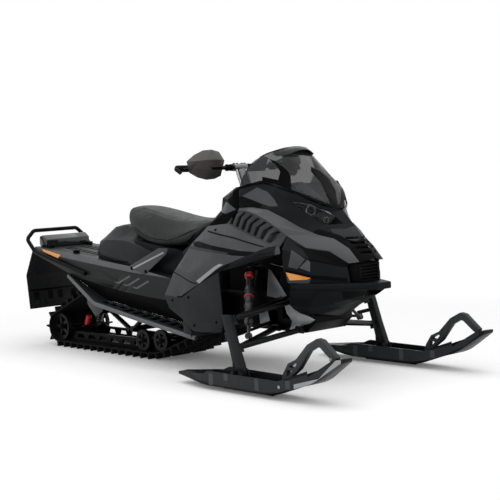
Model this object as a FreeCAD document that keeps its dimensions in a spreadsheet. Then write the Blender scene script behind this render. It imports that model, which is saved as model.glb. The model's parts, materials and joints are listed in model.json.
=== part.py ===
import FreeCAD, Part
import math
import os
from types import SimpleNamespace
from FreeCAD import Placement, Rotation, Vector

# Trail snowmobile with a rubber track, two steered skis and a solo seat.
# Frame: +X forward, +Y to the rider's left, +Z up. The origin is on the snow,
# under the middle of the whole machine. All sizes are millimetres.

SIZES = [
    # Tunnel: the folded sheet channel that the track runs in
    ("track_side_gap", 18.5, "belt to the inside of the channel"),
    ("tunnel_wall", 3, "sheet thickness"),
    ("tunnel_rear_x", -1440, "rear edge"),
    ("tunnel_rear_z", 640, "top at the rear edge"),
    ("tunnel_knee_x", -433, "where the top bends down"),
    ("tunnel_knee_z", 546, "top at the bend"),
    ("tunnel_front_x", 330, "front edge"),
    ("tunnel_front_z", 432, "top at the front edge"),
    ("emboss_depth", 1.2, "depth of the pressed slots in the tunnel side"),
    ("bracket_plate", 6, "plates on the tunnel's sides"),
    # Running boards
    ("board_rear_x", -1052, "rear end, where board meets tunnel"),
    ("board_rear_z", 478, "height there"),
    ("board_bend_x", -676, "bend between ramp and foot rest"),
    ("board_bend_z", 335, "height there"),
    ("board_front_x", 322, "front end"),
    ("board_front_z", 210, "height there"),
    ("board_reach", 362, "outer half width at the front"),
    ("board_sheet", 3, "board thickness"),
    ("board_tube_radius", 12, "edge tube"),
    # Track and its wheels
    ("track_width", 381, "belt width"),
    ("belt_thickness", 7, "rubber belt"),
    ("lug_height", 32, "lugs below the belt"),
    ("lug_base", 20, "lug at the belt, along the track"),
    ("lug_tip", 9, "lug at its tip"),
    ("lug_count", 48, "lugs round the loop"),
    ("lug_gap", 26, "plain belt between the rows of lugs"),
    ("lug_middle", 130, "width of the middle row of lugs"),
    ("idler_x", -1258, "rear idler axle"),
    ("idler_radius", 86, "belt radius at the rear idlers"),
    ("nose_x", -330, "where the rails start to curve up"),
    ("nose_radius", 420, "curve of the rail noses"),
    ("sprocket_x", 140, "drive axle"),
    ("sprocket_z", 285, "drive axle height"),
    ("sprocket_radius", 88, "belt radius at the drive sprockets"),
    ("carrier_x", -833, "upper rear carrier wheels"),
    ("carrier_z", 330, "their height"),
    ("carrier_radius", 66, "belt radius at the carrier wheels"),
    ("bogie_radius", 64, "belt radius at the bogie wheels"),
    ("bogie_rear_x", -407, "rear pair of bogie wheels"),
    ("bogie_front_x", -239, "front pair of bogie wheels"),
    ("wheel_width", 24, "tread of idlers and bogies"),
    ("wheel_offset", 150, "wheel centre from the middle plane"),
    ("rail_offset", 122, "slide rail from the middle plane"),
    ("rail_thickness", 14, "slide rail"),
    ("seat_gap", 0.3, "gap between pieces that rest on each other"),
    ("axle_radius", 10, "idler and bogie axles"),
    ("arm_tube_radius", 14, "skid frame arms"),
    # Skis
    ("ski_stance", 538.5, "ski centre from the middle plane"),
    ("ski_width", 150, "ski body"),
    ("ski_wall", 9, "side walls of the ski"),
    ("keel_width", 34, "keel under the ski"),
    ("runner_width", 12, "steel runner under the keel"),
    ("runner_depth", 9, "runner below the keel"),
    ("loop_width", 30, "ski loop, across"),
    ("saddle_x", 855, "ski pivot bolt"),
    ("saddle_z", 92, "its height"),
    ("saddle_bolt", 8, "radius of the ski pivot bolt"),
    ("saddle_gap", 5, "spindle to each cheek of the saddle"),
    ("saddle_plate", 6, "cheeks of the saddle"),
    # Front suspension
    ("caster", 16.7, "steering axis leans back, degrees"),
    ("kingpin_inset", 39, "steering axis inboard of the ski centre"),
    ("spindle_width", 34, "spindle leg, across"),
    ("spindle_top_z", 372, "top of the spindle"),
    ("lower_ball_z", 211, "lower ball joint"),
    ("upper_ball_z", 350, "upper ball joint"),
    ("socket_radius", 16.5, "arm ends round the ball joints"),
    ("socket_height", 34, "their height"),
    ("stud_radius", 6, "studs in the ball joints"),
    ("lower_arm_radius", 15, "lower arm tubes"),
    ("upper_arm_radius", 13, "upper arm tubes"),
    ("bulkhead_half", 138, "outer faces of the front frame"),
    ("bulkhead_plate", 8, "its side plates"),
    ("tie_radius", 8, "tie rod"),
    ("tie_lever", 75, "steering lever behind the kingpin"),
    ("shock_radius", 24, "spring outside"),
    ("spring_turns", 5, "turns of each spring"),
    # Steering
    ("post_lean", 20, "steering post leans back, degrees"),
    ("post_radius", 24, "steering post"),
    ("bar_radius", 11, "handlebar tube"),
    ("grip_radius", 17, "grips"),
    ("bar_reach", 430, "handlebar half width"),
    ("bar_x", 330, "handlebar clamp"),
    ("bar_z", 1104, "handlebar clamp height"),
    ("collar_z", 963, "top of the steering post's collar"),
    # Bodywork
    ("panel_depth", 8, "moulded panels, measured towards the middle of the body"),
    ("screen_depth", 6, "windshield, measured the same way"),
    ("louvre_depth", 26, "gaps between the louvres"),
    ("bumper_radius", 12.7, "rear bumper tube"),
    ("bumper_rear_x", -1512, "rearmost bend of the bumper"),
    ("flap_thickness", 9, "snow flap"),
    ("flap_half_width", 205, "snow flap"),
    ("anchor_radius", 21, "cargo anchor"),
    ("anchor_bore", 8, "bore of a cargo anchor"),
    ("anchor_height", 20, "cargo anchor above the tunnel"),
    ("anchor_rear_x", -1340, "rear pair of cargo anchors"),
    ("anchor_front_x", -1063, "front pair of cargo anchors"),
    ("anchor_side_y", 150, "cargo anchors from the middle plane"),
    ("seat_base_half", 150, "seat base"),
    ("tank_half", 150, "fuel tank"),
    # What follows from the sizes above
    ("tunnel_half_width", "=track_width / 2 + track_side_gap + tunnel_wall", "outer half width of the channel"),
]

doc = FreeCAD.newDocument("Snowmobile")
sheet = doc.addObject("Spreadsheet::Sheet", "Sizes")
for line, (alias, value, note) in enumerate(SIZES, start=1):
    sheet.set(f"A{line}", alias)
    sheet.set(f"B{line}", str(value))
    sheet.set(f"C{line}", note)
    sheet.setAlias(f"B{line}", alias)
doc.recompute()
D = SimpleNamespace(**{alias: float(sheet.get(alias)) for alias, value, note in SIZES})

NODES = {}


# Sketches, pads and pockets

def rounded(points):
    """Closed outline through points; a third number rounds that corner."""
    corners = []
    count = len(points)
    for index, point in enumerate(points):
        here = Vector(point[0], point[1], 0)
        if len(point) < 3:
            corners.append((here, None, here))
            continue
        back = (Vector(*points[index - 1][:2], 0) - here).normalize()
        ahead = (Vector(*points[(index + 1) % count][:2], 0) - here).normalize()
        half = back.getAngle(ahead) / 2
        reach = point[2] / math.tan(half)
        middle = here + (back + ahead).normalize() * (point[2] / math.sin(half) - point[2])
        corners.append((here + back * reach, middle, here + ahead * reach))
    edges = []
    for index, (start, middle, end) in enumerate(corners):
        if middle:
            edges.append(Part.Arc(start, middle, end))
        following = corners[(index + 1) % count][0]
        if (following - end).Length > 1e-6:
            edges.append(Part.LineSegment(end, following))
    return edges


def body(name):
    """An empty body whose label is its node's name."""
    made = doc.addObject("PartDesign::Body", name)
    made.Label = name
    return made


def sketch(owner, plane, outlines, offset="0"):
    """A sketch of closed outlines on one of the body's own planes."""
    made = owner.newObject("Sketcher::SketchObject", owner.Name + "_sketch")
    base = next(item for item in owner.Origin.OriginFeatures if item.Role == plane)
    made.AttachmentSupport = [(base, "")]
    made.MapMode = "FlatFace"
    made.setExpression("AttachmentOffset.Base.z", offset)
    for outline in outlines:
        made.addGeometry(outline, False)
    return made


def feature(owner, kind, profile, length, side="One side", reverse=False):
    """A Pad or Pocket of a sketch; length is an expression on the sheet."""
    made = owner.newObject("PartDesign::" + kind, f"{owner.Name}_{kind}")
    made.Profile = profile
    made.SideType = side
    made.Reversed = reverse
    made.setExpression("Length", length)
    owner.Tip = made
    return made


def slab(name, plane, outlines, length, offset="0", side="One side"):
    """A body with one pad."""
    made = body(name)
    feature(made, "Pad", sketch(made, plane, outlines, offset), length, side)
    return made


# Primitives, booleans and copies

def primitive(kind, name, base=Vector(), turn=Rotation(), **sizes):
    """A Part primitive; each size is an expression on the sheet."""
    made = doc.addObject("Part::" + kind, name)
    for prop, expression in sizes.items():
        made.setExpression(prop, expression)
    made.Placement = Placement(base, turn)
    return made


def rod(name, start, end, radius):
    """A round bar from start to end."""
    made = primitive("Cylinder", name, start, Rotation(Vector(0, 0, 1), end - start), Radius=radius)
    made.Height = (end - start).Length
    return made


def disc(name, centre, radius, width, axis=Vector(0, 1, 0)):
    """A cylinder centred on a point."""
    made = primitive("Cylinder", name, Vector(), Rotation(), Radius=radius, Height=width)
    doc.recompute()
    height = made.Height.Value
    turn = Rotation(Vector(0, 0, 1), axis)
    made.Placement = Placement(centre - turn.multVec(Vector(0, 0, height / 2)), turn)
    return made


def fuse(name, pieces):
    made = doc.addObject("Part::MultiFuse", name)
    made.Shapes = pieces
    made.Label = name
    return made


def cut(name, base, tool):
    made = doc.addObject("Part::Cut", name)
    made.Base = base
    made.Tool = tool
    made.Label = name
    return made


def common(name, base, tool):
    made = doc.addObject("Part::Common", name)
    made.Base = base
    made.Tool = tool
    made.Label = name
    return made


def group(name, pieces):
    """Like pieces of one body that do not touch."""
    made = doc.addObject("Part::Compound", name)
    made.Links = pieces
    made.Label = name
    return made


def mirrored(source, name):
    """The same piece on the other side of the middle plane."""
    made = doc.addObject("Part::Mirroring", name)
    made.Source = source
    made.Normal = Vector(0, 1, 0)
    made.Label = name
    return made


def pair(name, right):
    return group(name, [right, mirrored(right, name + "_other")])


def node(made, name=None):
    """Marks an object as a finished sub-part."""
    if name:
        made.Label = name
    NODES[made.Label] = made
    return made


def shaped(name, shape):
    """An object that holds a shape made from points."""
    made = doc.addObject("Part::Feature", name)
    made.Shape = shape
    made.Label = name
    return made


def other_side(points):
    return [Vector(p.x, -p.y, p.z) for p in reversed(points)]


# Tubes along a path of straight runs and tangent arcs

def path_wire(points, bend):
    edges = []
    start = points[0]
    for before, corner, after in zip(points, points[1:], points[2:]):
        back = (before - corner).normalize()
        ahead = (after - corner).normalize()
        half = back.getAngle(ahead) / 2
        reach = bend / math.tan(half)
        middle = corner + (back + ahead).normalize() * (bend / math.sin(half) - bend)
        edges.append(Part.makeLine(start, corner + back * reach))
        edges.append(Part.Arc(corner + back * reach, middle, corner + ahead * reach).toShape())
        start = corner + ahead * reach
    edges.append(Part.makeLine(start, points[-1]))
    return Part.Wire(edges)


def tube(name, points, bend, radius):
    """A round bar that follows a path."""
    start = Part.makeCircle(radius, points[0], points[1] - points[0])
    return shaped(name, path_wire(points, bend).makePipe(Part.Face(Part.Wire(start))))


# Moulded shapes from rows of points, with flat facets between them

def facet(*corners):
    return Part.Face(Part.makePolygon(list(corners) + [corners[0]]))


def web(first, second):
    """Triangles between two rows of points."""
    faces = []
    for a, b, c, d in zip(first, first[1:], second[1:], second):
        for corners in ((a, b, c), (a, c, d)):
            if (corners[1] - corners[0]).cross(corners[2] - corners[0]).Length > 1e-6:
                faces.append(facet(*corners))
    return faces


def closed(faces):
    shell = Part.makeShell(faces)
    shell.sewShape()
    solid = Part.makeSolid(shell)
    if solid.Volume < 0:
        solid.reverse()
    return solid


def vectors(points):
    return [Vector(*point) for point in points]


def curve(points, count):
    """Evenly spaced points along the smooth curve through a few points."""
    spline = Part.BSplineCurve()
    spline.interpolate(vectors(points))
    return spline.toShape().discretize(Number=count + 1)


def between(first, second, share):
    return [a + (b - a) * share for a, b in zip(first, second)]


HEART = Vector(600, 0, 560)


def inward(depth, heart=HEART):
    """Moves a point by depth towards the middle of the body."""
    return lambda point: point + (heart - point).normalize() * depth


def skin(name, rows, inner):
    """Panel between rows of points and the same points moved by inner.

    Panels that share a row and the same heart meet there face to face."""
    inside = [[inner(point) for point in row] for row in rows]
    faces = []
    for layer in (rows, inside):
        for first, second in zip(layer, layer[1:]):
            faces += web(first, second)
    for row, deep in ((rows[0], inside[0]), (rows[-1], inside[-1])):
        faces += [facet(a, b, c, d) for a, b, c, d in zip(row, row[1:], deep[1:], deep)]
    for end in (0, -1):
        edge = [row[end] for row in rows]
        deep = [row[end] for row in inside]
        faces += [facet(a, b, c, d) for a, b, c, d in zip(edge, edge[1:], deep[1:], deep)]
    return shaped(name, closed(faces))


def ring_body(name, rings):
    """Closed solid through cross sections (x, right half from bottom to top)."""
    loops = []
    for x, half in rings:
        right = [Vector(x, -y, z) for y, z in half]
        loops.append(right + other_side(right)[1:-1])
    faces = [facet(*loops[0]), facet(*loops[-1])]
    for first, second in zip(loops, loops[1:]):
        faces += web(first + first[:1], second + second[:1])
    return shaped(name, closed(faces))


# Tunnel

def tunnel_top(x):
    """Height of the tunnel's top face at x."""
    if x < D.tunnel_knee_x:
        run = (x - D.tunnel_rear_x) / (D.tunnel_knee_x - D.tunnel_rear_x)
        return D.tunnel_rear_z + run * (D.tunnel_knee_z - D.tunnel_rear_z)
    run = (x - D.tunnel_knee_x) / (D.tunnel_front_x - D.tunnel_knee_x)
    return D.tunnel_knee_z + run * (D.tunnel_front_z - D.tunnel_knee_z)


def board_top(x):
    """Height of the running board at x."""
    if x < D.board_bend_x:
        run = (x - D.board_rear_x) / (D.board_bend_x - D.board_rear_x)
        return D.board_rear_z + run * (D.board_bend_z - D.board_rear_z)
    run = (x - D.board_bend_x) / (D.board_front_x - D.board_bend_x)
    return D.board_bend_z + run * (D.board_front_z - D.board_bend_z)


def tunnel():
    made = body("tunnel")
    outside = [
        (D.tunnel_rear_x, D.tunnel_rear_z),
        (D.tunnel_knee_x, D.tunnel_knee_z),
        (D.tunnel_front_x, D.tunnel_front_z),
        (D.tunnel_front_x, board_top(D.tunnel_front_x)),
        (D.board_bend_x, D.board_bend_z, 60),
        (D.board_rear_x, D.board_rear_z, 60),
        (D.tunnel_rear_x + 20, D.tunnel_rear_z - 55),
    ]
    wall = D.tunnel_wall
    hollow = [
        (D.tunnel_rear_x - 10, D.tunnel_rear_z - wall),
        (D.tunnel_knee_x, D.tunnel_knee_z - wall),
        (D.tunnel_front_x + 10, D.tunnel_front_z - wall),
        (D.tunnel_front_x + 10, 0),
        (D.tunnel_rear_x - 10, 0),
    ]
    feature(made, "Pad", sketch(made, "XZ_Plane", [rounded(outside)]),
            "2 * Sizes.tunnel_half_width", "Symmetric")
    feature(made, "Pocket", sketch(made, "XZ_Plane", [rounded(hollow)]),
            "2 * (Sizes.tunnel_half_width - Sizes.tunnel_wall)", "Symmetric")
    slots = []
    for index in range(3):
        x = -640 + 62 * index
        z = tunnel_top(x) - 150
        slots.append(rounded([(x, z), (x + 30, z), (x + 95, z + 62), (x + 104, z + 54), (x + 36, z - 10), (x, z - 10)]))
    for side, reverse in (("-", True), ("", False)):
        profile = sketch(made, "XZ_Plane", slots, f"{side}Sizes.tunnel_half_width")
        feature(made, "Pocket", profile, "Sizes.emboss_depth", reverse=reverse)
    return node(made)


def running_boards(panel):
    """Each board is a bent sheet with grip holes, an edge tube and a bracket under the side panel."""
    profile = [
        (D.board_rear_x, D.board_rear_z),
        (D.board_bend_x, D.board_bend_z, 60),
        (D.board_front_x, D.board_front_z),
        (D.board_front_x, D.board_front_z - D.board_sheet),
        (D.board_bend_x, D.board_bend_z - D.board_sheet, 60),
        (D.board_rear_x, D.board_rear_z - D.board_sheet),
    ]
    made = slab("board_sheet", "XZ_Plane", [rounded(profile)],
                "Sizes.board_reach - Sizes.tunnel_half_width", "Sizes.tunnel_half_width")
    inner = -D.tunnel_half_width
    bend_y = inner - 96
    wide_x = -190
    front_y = -D.board_reach
    trim = sketch(made, "XY_Plane", [rounded([
        (D.board_rear_x - 10, inner - 14), (D.board_bend_x, bend_y), (wide_x, front_y + 18),
        (D.board_front_x + 10, front_y), (D.board_front_x + 10, front_y - 80),
        (D.board_rear_x - 10, front_y - 80)])])
    feature(made, "Pocket", trim, "1400", "Symmetric")
    holes = []
    for index in range(11):
        x = D.board_bend_x + 40 + 82 * index
        outer = bend_y + 26 if x < -450 else front_y + 46
        holes.append(rounded([(x, inner - 22), (x + 50, inner - 22), (x + 50, outer), (x, outer)]))
    feature(made, "Pocket", sketch(made, "XY_Plane", holes), "1400", "Symmetric")
    drop = D.board_tube_radius + D.board_sheet / 2
    edge = vectors([
        (D.board_rear_x, inner - D.board_tube_radius - D.seat_gap, board_top(D.board_rear_x) - drop),
        (D.board_bend_x, bend_y, D.board_bend_z - drop),
        (wide_x, front_y + 18, board_top(wide_x) - drop),
        (D.board_front_x, front_y, D.board_front_z - drop),
    ])
    rail = tube("board_rail", edge, 200, D.board_tube_radius)
    bracket_x = 236
    bracket = primitive("Box", "board_bracket", Vector(bracket_x, -376, D.board_front_z - 10), Rotation(),
                        Length="60", Width="18", Height="92")
    whole = fuse("board_with_rail", [made, rail, bracket])
    return node(pair("running_boards", cut("running_board_right", whole, panel)))


def frame_brackets():
    """Plates on the tunnel's sides: under the boards for the skid frame, above for the seat."""
    drop = body("drop_bracket_right")
    rear_x = D.carrier_x - 42
    front_x = D.carrier_x + 118
    under = D.board_sheet + 1
    outline = [(rear_x, board_top(rear_x) - under), (front_x, board_top(front_x) - under), (front_x, 268, 20),
               (-790, 222, 24), (rear_x, 300, 30)]
    feature(drop, "Pad", sketch(drop, "XZ_Plane", [rounded(outline)], "Sizes.tunnel_half_width"),
            "Sizes.bracket_plate")
    strut = body("frame_strut_right")
    outline = [(-440, 545, 6), (-300, 505, 10), (-262, 520, 8), (-90, 625, 8), (-60, 660, 8), (-150, 660, 10)]
    feature(strut, "Pad", sketch(strut, "XZ_Plane", [rounded(outline)], "Sizes.tunnel_half_width"),
            "Sizes.bracket_plate")
    pieces = []
    for plate in (drop, strut):
        pieces += [plate, mirrored(plate, plate.Name + "_other")]
    return node(group("frame_brackets", pieces))


# Track, rails and wheels

def track_wheels():
    """Circles that the belt's inner face runs round, from the rear idler forward."""
    ground = D.belt_thickness + D.lug_height
    return [
        (D.idler_x, ground + D.idler_radius, D.idler_radius),
        (D.nose_x, ground + D.nose_radius, D.nose_radius),
        (D.sprocket_x, D.sprocket_z, D.sprocket_radius),
        (D.carrier_x, D.carrier_z, D.carrier_radius),
    ]


def belt_path(extra):
    """Runs and arcs of the loop, extra outside the belt's inner face."""
    wheels = track_wheels()
    angles = []
    for (xa, za, ra), (xb, zb, rb) in zip(wheels, wheels[1:] + wheels[:1]):
        distance = math.hypot(xb - xa, zb - za)
        heading = math.atan2(zb - za, xb - xa)
        angles.append(heading - math.acos((ra - rb) / distance))
    pieces = []
    for index, (x, z, radius) in enumerate(wheels):
        begin = angles[index - 1]
        end = angles[index]
        while end < begin:
            end += 2 * math.pi
        size = radius + extra
        pieces.append(("arc", x, z, size, begin, end))
        xn, zn, rn = wheels[(index + 1) % len(wheels)]
        first = (x + size * math.cos(angles[index]), z + size * math.sin(angles[index]))
        last = (xn + (rn + extra) * math.cos(angles[index]), zn + (rn + extra) * math.sin(angles[index]))
        pieces.append(("line", first, last))
    return pieces


def belt_wire(extra):
    edges = []
    for piece in belt_path(extra):
        if piece[0] == "line":
            (xa, za), (xb, zb) = piece[1:]
            edges.append(Part.makeLine(Vector(xa, 0, za), Vector(xb, 0, zb)))
        else:
            kind, x, z, size, begin, end = piece
            spots = [Vector(x + size * math.cos(a), 0, z + size * math.sin(a))
                     for a in (begin, (begin + end) / 2, end)]
            edges.append(Part.Arc(*spots).toShape())
    return Part.Wire(edges)


def loop_length(extra):
    return belt_wire(extra).Length


def on_belt(extra, travel):
    """Point and outward direction after a way along the loop."""
    travel %= loop_length(extra)
    for piece in belt_path(extra):
        if piece[0] == "line":
            start, end = (Vector(x, 0, z) for x, z in piece[1:])
            length = (end - start).Length
            if travel <= length:
                along = (end - start).normalize()
                return start + along * travel, Vector(along.z, 0, -along.x)
        else:
            kind, x, z, size, begin, end = piece
            length = size * (end - begin)
            if travel <= length:
                angle = begin + travel / size
                out = Vector(math.cos(angle), 0, math.sin(angle))
                return Vector(x, 0, z) + out * size, out
        travel -= length
    return on_belt(extra, 0)


def lug_outline():
    """The belt's outer face with its lugs, one closed wire."""
    extra = D.belt_thickness
    count = int(D.lug_count)
    pitch = loop_length(extra) / count
    edges = []
    for index in range(count):
        middle = pitch * (index + 0.5)
        foot, out = on_belt(extra, middle)
        side = Vector(-out.z, 0, out.x)
        tips = [foot + out * D.lug_height + side * shift for shift in (-D.lug_tip / 2, D.lug_tip / 2)]
        near, far = (on_belt(extra, middle + shift)[0] for shift in (-D.lug_base / 2, D.lug_base / 2))
        edges += [Part.makeLine(near, tips[0]), Part.makeLine(tips[0], tips[1]), Part.makeLine(tips[1], far)]
        halfway, halfway_out = on_belt(extra, middle + pitch / 2)
        following = on_belt(extra, middle + pitch - D.lug_base / 2)[0]
        if halfway.distanceToLine(far, following - far) < 0.01:
            edges.append(Part.makeLine(far, following))
        else:
            edges.append(Part.Arc(far, halfway, following).toShape())
    return Part.Wire(edges)


def track():
    """One closed belt; its lugs stand in three rows across the width."""
    bare = Part.makeFace([belt_wire(D.belt_thickness), belt_wire(0)], "Part::FaceMakerBullseye")
    lugged = Part.makeFace([lug_outline(), belt_wire(0)], "Part::FaceMakerBullseye")
    half = D.track_width / 2
    middle = D.lug_middle / 2
    spans = [(-half, -middle - D.lug_gap, lugged), (-middle - D.lug_gap, -middle, bare),
             (-middle, middle, lugged), (middle, middle + D.lug_gap, bare),
             (middle + D.lug_gap, half, lugged)]
    rows = []
    for low, high, face in spans:
        placed = face.copy()
        placed.translate(Vector(0, low, 0))
        rows.append(placed.extrude(Vector(0, high - low, 0)))
    made = doc.addObject("Part::Feature", "track")
    made.Shape = rows[0].fuse(rows[1:])
    made.Label = "track"
    return node(made)


def wheel(name, centre, belt_radius, rim=0.0, spokes=5):
    """Wheel turned in one piece, its web pierced between the spokes; rim is the depth of its face."""
    made = body(name)
    half = D.wheel_width / 2
    radius = belt_radius - D.seat_gap
    inside = radius - 13
    section = [(D.axle_radius, -half), (radius, -half), (radius, half)]
    if rim:
        section = [(D.axle_radius, rim - half), (inside, rim - half), (inside, -half), (radius, -half),
                   (radius, half), (inside, half), (inside, half - rim)]
    section.append((D.axle_radius, half - rim))
    flat = [(y, x) for x, y in section]
    profile = sketch(made, "YZ_Plane", [rounded(flat)])
    turned = made.newObject("PartDesign::Revolution", name + "_turned")
    turned.Profile = profile
    turned.ReferenceAxis = (profile, ["H_Axis"])
    turned.Angle = 360
    made.Tip = turned
    inner = D.axle_radius + 14
    outer = radius - 19
    step = math.pi / spokes
    window = rounded([(inner * math.cos(a), inner * math.sin(a)) for a in (-step * 0.45, step * 0.45)]
                     + [(outer * math.cos(a), outer * math.sin(a)) for a in (step * 0.72, -step * 0.72)])
    hole = feature(made, "Pocket", sketch(made, "XZ_Plane", [window]), "40", "Symmetric")
    ring = made.newObject("PartDesign::PolarPattern", name + "_windows")
    ring.Originals = [hole]
    ring.Axis = (next(f for f in made.Origin.OriginFeatures if f.Role == "Y_Axis"), [""])
    ring.Angle = 360
    ring.Occurrences = spokes
    made.Tip = ring
    made.Placement = Placement(centre, Rotation())
    return made


def bogie_height(x):
    """Centre height of a bogie wheel that rests on the belt's inner face."""
    ground = D.belt_thickness + D.lug_height
    if x < D.nose_x:
        return ground + D.bogie_radius
    reach = D.nose_radius - D.bogie_radius
    return ground + D.nose_radius - math.sqrt(reach ** 2 - (x - D.nose_x) ** 2)


def bracket_span():
    """Axle ends that butt against the inner faces of the tunnel's side plates."""
    return "2 * (Sizes.tunnel_half_width - Sizes.seat_gap)"


def running_wheels():
    """Rear idlers, two pairs of bogies and the upper carriers, on their axles."""
    short = "2 * Sizes.wheel_offset + Sizes.wheel_width + 10"
    idler_x, idler_z, idler_radius = track_wheels()[0]
    axles = [("idler", Vector(idler_x, 0, idler_z), idler_radius, short, 8.0)]
    for label, x in (("bogie_rear", D.bogie_rear_x), ("bogie_front", D.bogie_front_x)):
        axles.append((label, Vector(x, 0, bogie_height(x)), D.bogie_radius, short, 0.0))
    axles.append(("carrier", Vector(D.carrier_x, 0, D.carrier_z), D.carrier_radius, bracket_span(), 0.0))
    pieces = []
    for label, centre, radius, length, rim in axles:
        sides = [wheel(f"{label}_{'r' if y < 0 else 'l'}", centre + Vector(0, y, 0), radius, rim)
                 for y in (-D.wheel_offset, D.wheel_offset)]
        pieces.append(fuse(label + "_set", sides + [disc(label + "_axle", centre, "Sizes.axle_radius", length)]))
    return node(group("running_wheels", pieces))


def slide_rails():
    """Two rails that press the belt down, curved up at the nose."""
    ground = D.belt_thickness + D.lug_height
    low = ground + D.seat_gap
    rise = math.radians(22)
    reach = D.nose_radius - D.seat_gap
    arc = [Vector(D.nose_x + reach * math.sin(a), ground + D.nose_radius - reach * math.cos(a), 0)
           for a in (0, rise / 2, rise)]
    tip = arc[2] + Vector(math.cos(rise), math.sin(rise), 0) * 40
    idler_z = ground + D.idler_radius
    start = Vector(D.idler_x + 70, low, 0)
    top = [tip, tip + Vector(-16, 34, 0), Vector(D.nose_x + 40, low + 74, 0), Vector(D.nose_x - 150, low + 66, 0),
           Vector(D.idler_x + 120, low + 62, 0), Vector(D.idler_x + 40, idler_z + 24, 0),
           Vector(D.idler_x - 22, idler_z + 20, 0), Vector(D.idler_x - 22, idler_z - 20, 0), start]
    outline = [Part.LineSegment(start, arc[0]), Part.Arc(*arc), Part.LineSegment(arc[2], tip)]
    outline += [Part.LineSegment(a, b) for a, b in zip(top, top[1:])]
    made = body("slide_rail_right")
    feature(made, "Pad", sketch(made, "XZ_Plane", [outline], "Sizes.rail_offset - Sizes.rail_thickness / 2"),
            "Sizes.rail_thickness")
    windows = []
    for index in range(6):
        x = D.idler_x + 130 + 118 * index
        windows.append(rounded([(x, low + 22), (x + 80, low + 22), (x + 70, low + 46), (x + 10, low + 46)]))
    bore = D.axle_radius + D.seat_gap
    windows.append([Part.Circle(Vector(D.idler_x, idler_z, 0), Vector(0, 0, 1), bore)])
    for x in (D.bogie_rear_x, D.bogie_front_x):
        windows.append([Part.Circle(Vector(x, bogie_height(x), 0), Vector(0, 0, 1), bore)])
    feature(made, "Pocket", sketch(made, "XZ_Plane", windows), "600", "Symmetric")
    return node(pair("slide_rails", made))


SHOCK_LOW = Vector(-1079, 0, 133)
SHOCK_HIGH = Vector(-1020, 0, 262)


def skid_arms():
    """Swing arms between tunnel and rails, with the crank that the skid shock hangs from."""
    between_rails = "2 * (Sizes.rail_offset - Sizes.rail_thickness / 2 - Sizes.seat_gap)"
    pivot = Vector(-800, 0, 249)
    plans = (
        ("front", Vector(-330, 0, 322), Vector(-575, 0, 150), "2 * (Sizes.tunnel_half_width - Sizes.tunnel_wall"
         " - Sizes.seat_gap)"),
        ("rear", pivot, Vector(-610, 0, 150), bracket_span()),
    )
    pieces = []
    for name, high, low, span in plans:
        for side in (-1, 1):
            shift = Vector(0, side * (D.rail_offset - D.rail_thickness / 2 - D.arm_tube_radius - 4), 0)
            pieces.append(rod(f"{name}_leg_{'r' if side < 0 else 'l'}", high + shift, low + shift,
                              "Sizes.arm_tube_radius"))
        pieces.append(disc(f"{name}_cross_high", high, "Sizes.arm_tube_radius", span))
        pieces.append(disc(f"{name}_cross_low", low, "Sizes.arm_tube_radius", between_rails))
    for side in (-1, 1):
        shift = Vector(0, side * 30, 0)
        pieces.append(rod(f"crank_{'r' if side < 0 else 'l'}", pivot + shift, SHOCK_HIGH + shift, "9"))
    pieces.append(disc("crank_pin", SHOCK_HIGH, "6", "60"))
    arms = fuse("swing_arms", pieces)
    foot = disc("shock_foot", SHOCK_LOW, "6", between_rails)
    return node(group("skid_arms", [arms, foot]))


def coil_over(name, top, bottom, bores):
    """Damper in a ribbed spring sleeve, with bored eyes at both ends."""
    axis = (bottom - top).normalize()
    length = (bottom - top).Length
    turns = int(D.spring_turns)
    valley = D.shock_radius - 6
    start, end = 0.28 * length, 0.84 * length
    step = (end - start) / turns / 2
    profile = [(0, 0.02 * length), (D.shock_radius * 0.35, 0.02 * length), (D.shock_radius * 0.35, 0.1 * length),
               (D.shock_radius * 0.62, 0.1 * length), (D.shock_radius * 0.62, start)]
    for index in range(turns):
        profile += [(valley, start + 2 * index * step), (D.shock_radius, start + (2 * index + 1) * step)]
    profile += [(valley, end), (D.shock_radius * 0.35, end), (D.shock_radius * 0.35, 0.98 * length),
                (0, 0.98 * length)]
    outline = facet(*[Vector(x, 0, z) for x, z in profile])
    damper = outline.revolve(Vector(), Vector(0, 0, 1), 360)
    damper.Placement = Placement(top, Rotation(Vector(0, 0, 1), axis))
    pieces = [shaped(name + "_damper", damper)]
    pieces += [disc(f"{name}_eye_{i}", spot, "Sizes.shock_radius * 0.6", "26") for i, spot in enumerate((top, bottom))]
    whole = fuse(name + "_whole", pieces)
    holes = [disc(f"{name}_bore_{i}", spot, f"{bore} + Sizes.seat_gap", "60")
             for i, (spot, bore) in enumerate(zip((top, bottom), bores)) if bore]
    return cut(name, whole, group(name + "_bores", holes))


def skid_shock():
    return node(coil_over("skid_shock", SHOCK_HIGH, SHOCK_LOW, (6, 6)))


def drive_axle():
    x, z = D.sprocket_x, D.sprocket_z
    pieces = [disc("drive_shaft", Vector(x, 0, z), "Sizes.axle_radius * 1.3",
                   "2 * (Sizes.tunnel_half_width - Sizes.tunnel_wall - Sizes.seat_gap)")]
    rim = D.sprocket_radius - 1
    teeth = 8
    points = []
    for index in range(teeth):
        angle = 2 * math.pi * index / teeth
        for shift, size in ((-0.16, rim - 14), (-0.07, rim), (0.07, rim), (0.16, rim - 14)):
            points.append((size * math.cos(angle + shift), size * math.sin(angle + shift)))
    for y in (-70, 70):
        made = slab(f"sprocket_{'r' if y < 0 else 'l'}", "XZ_Plane", [rounded(points)], "30", side="Symmetric")
        made.Placement = Placement(Vector(x, y, z), Rotation())
        pieces.append(made)
    return node(fuse("drive_axle", pieces))


# Skis, spindles, arms and tie rods (right side; the left is mirrored)

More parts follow.
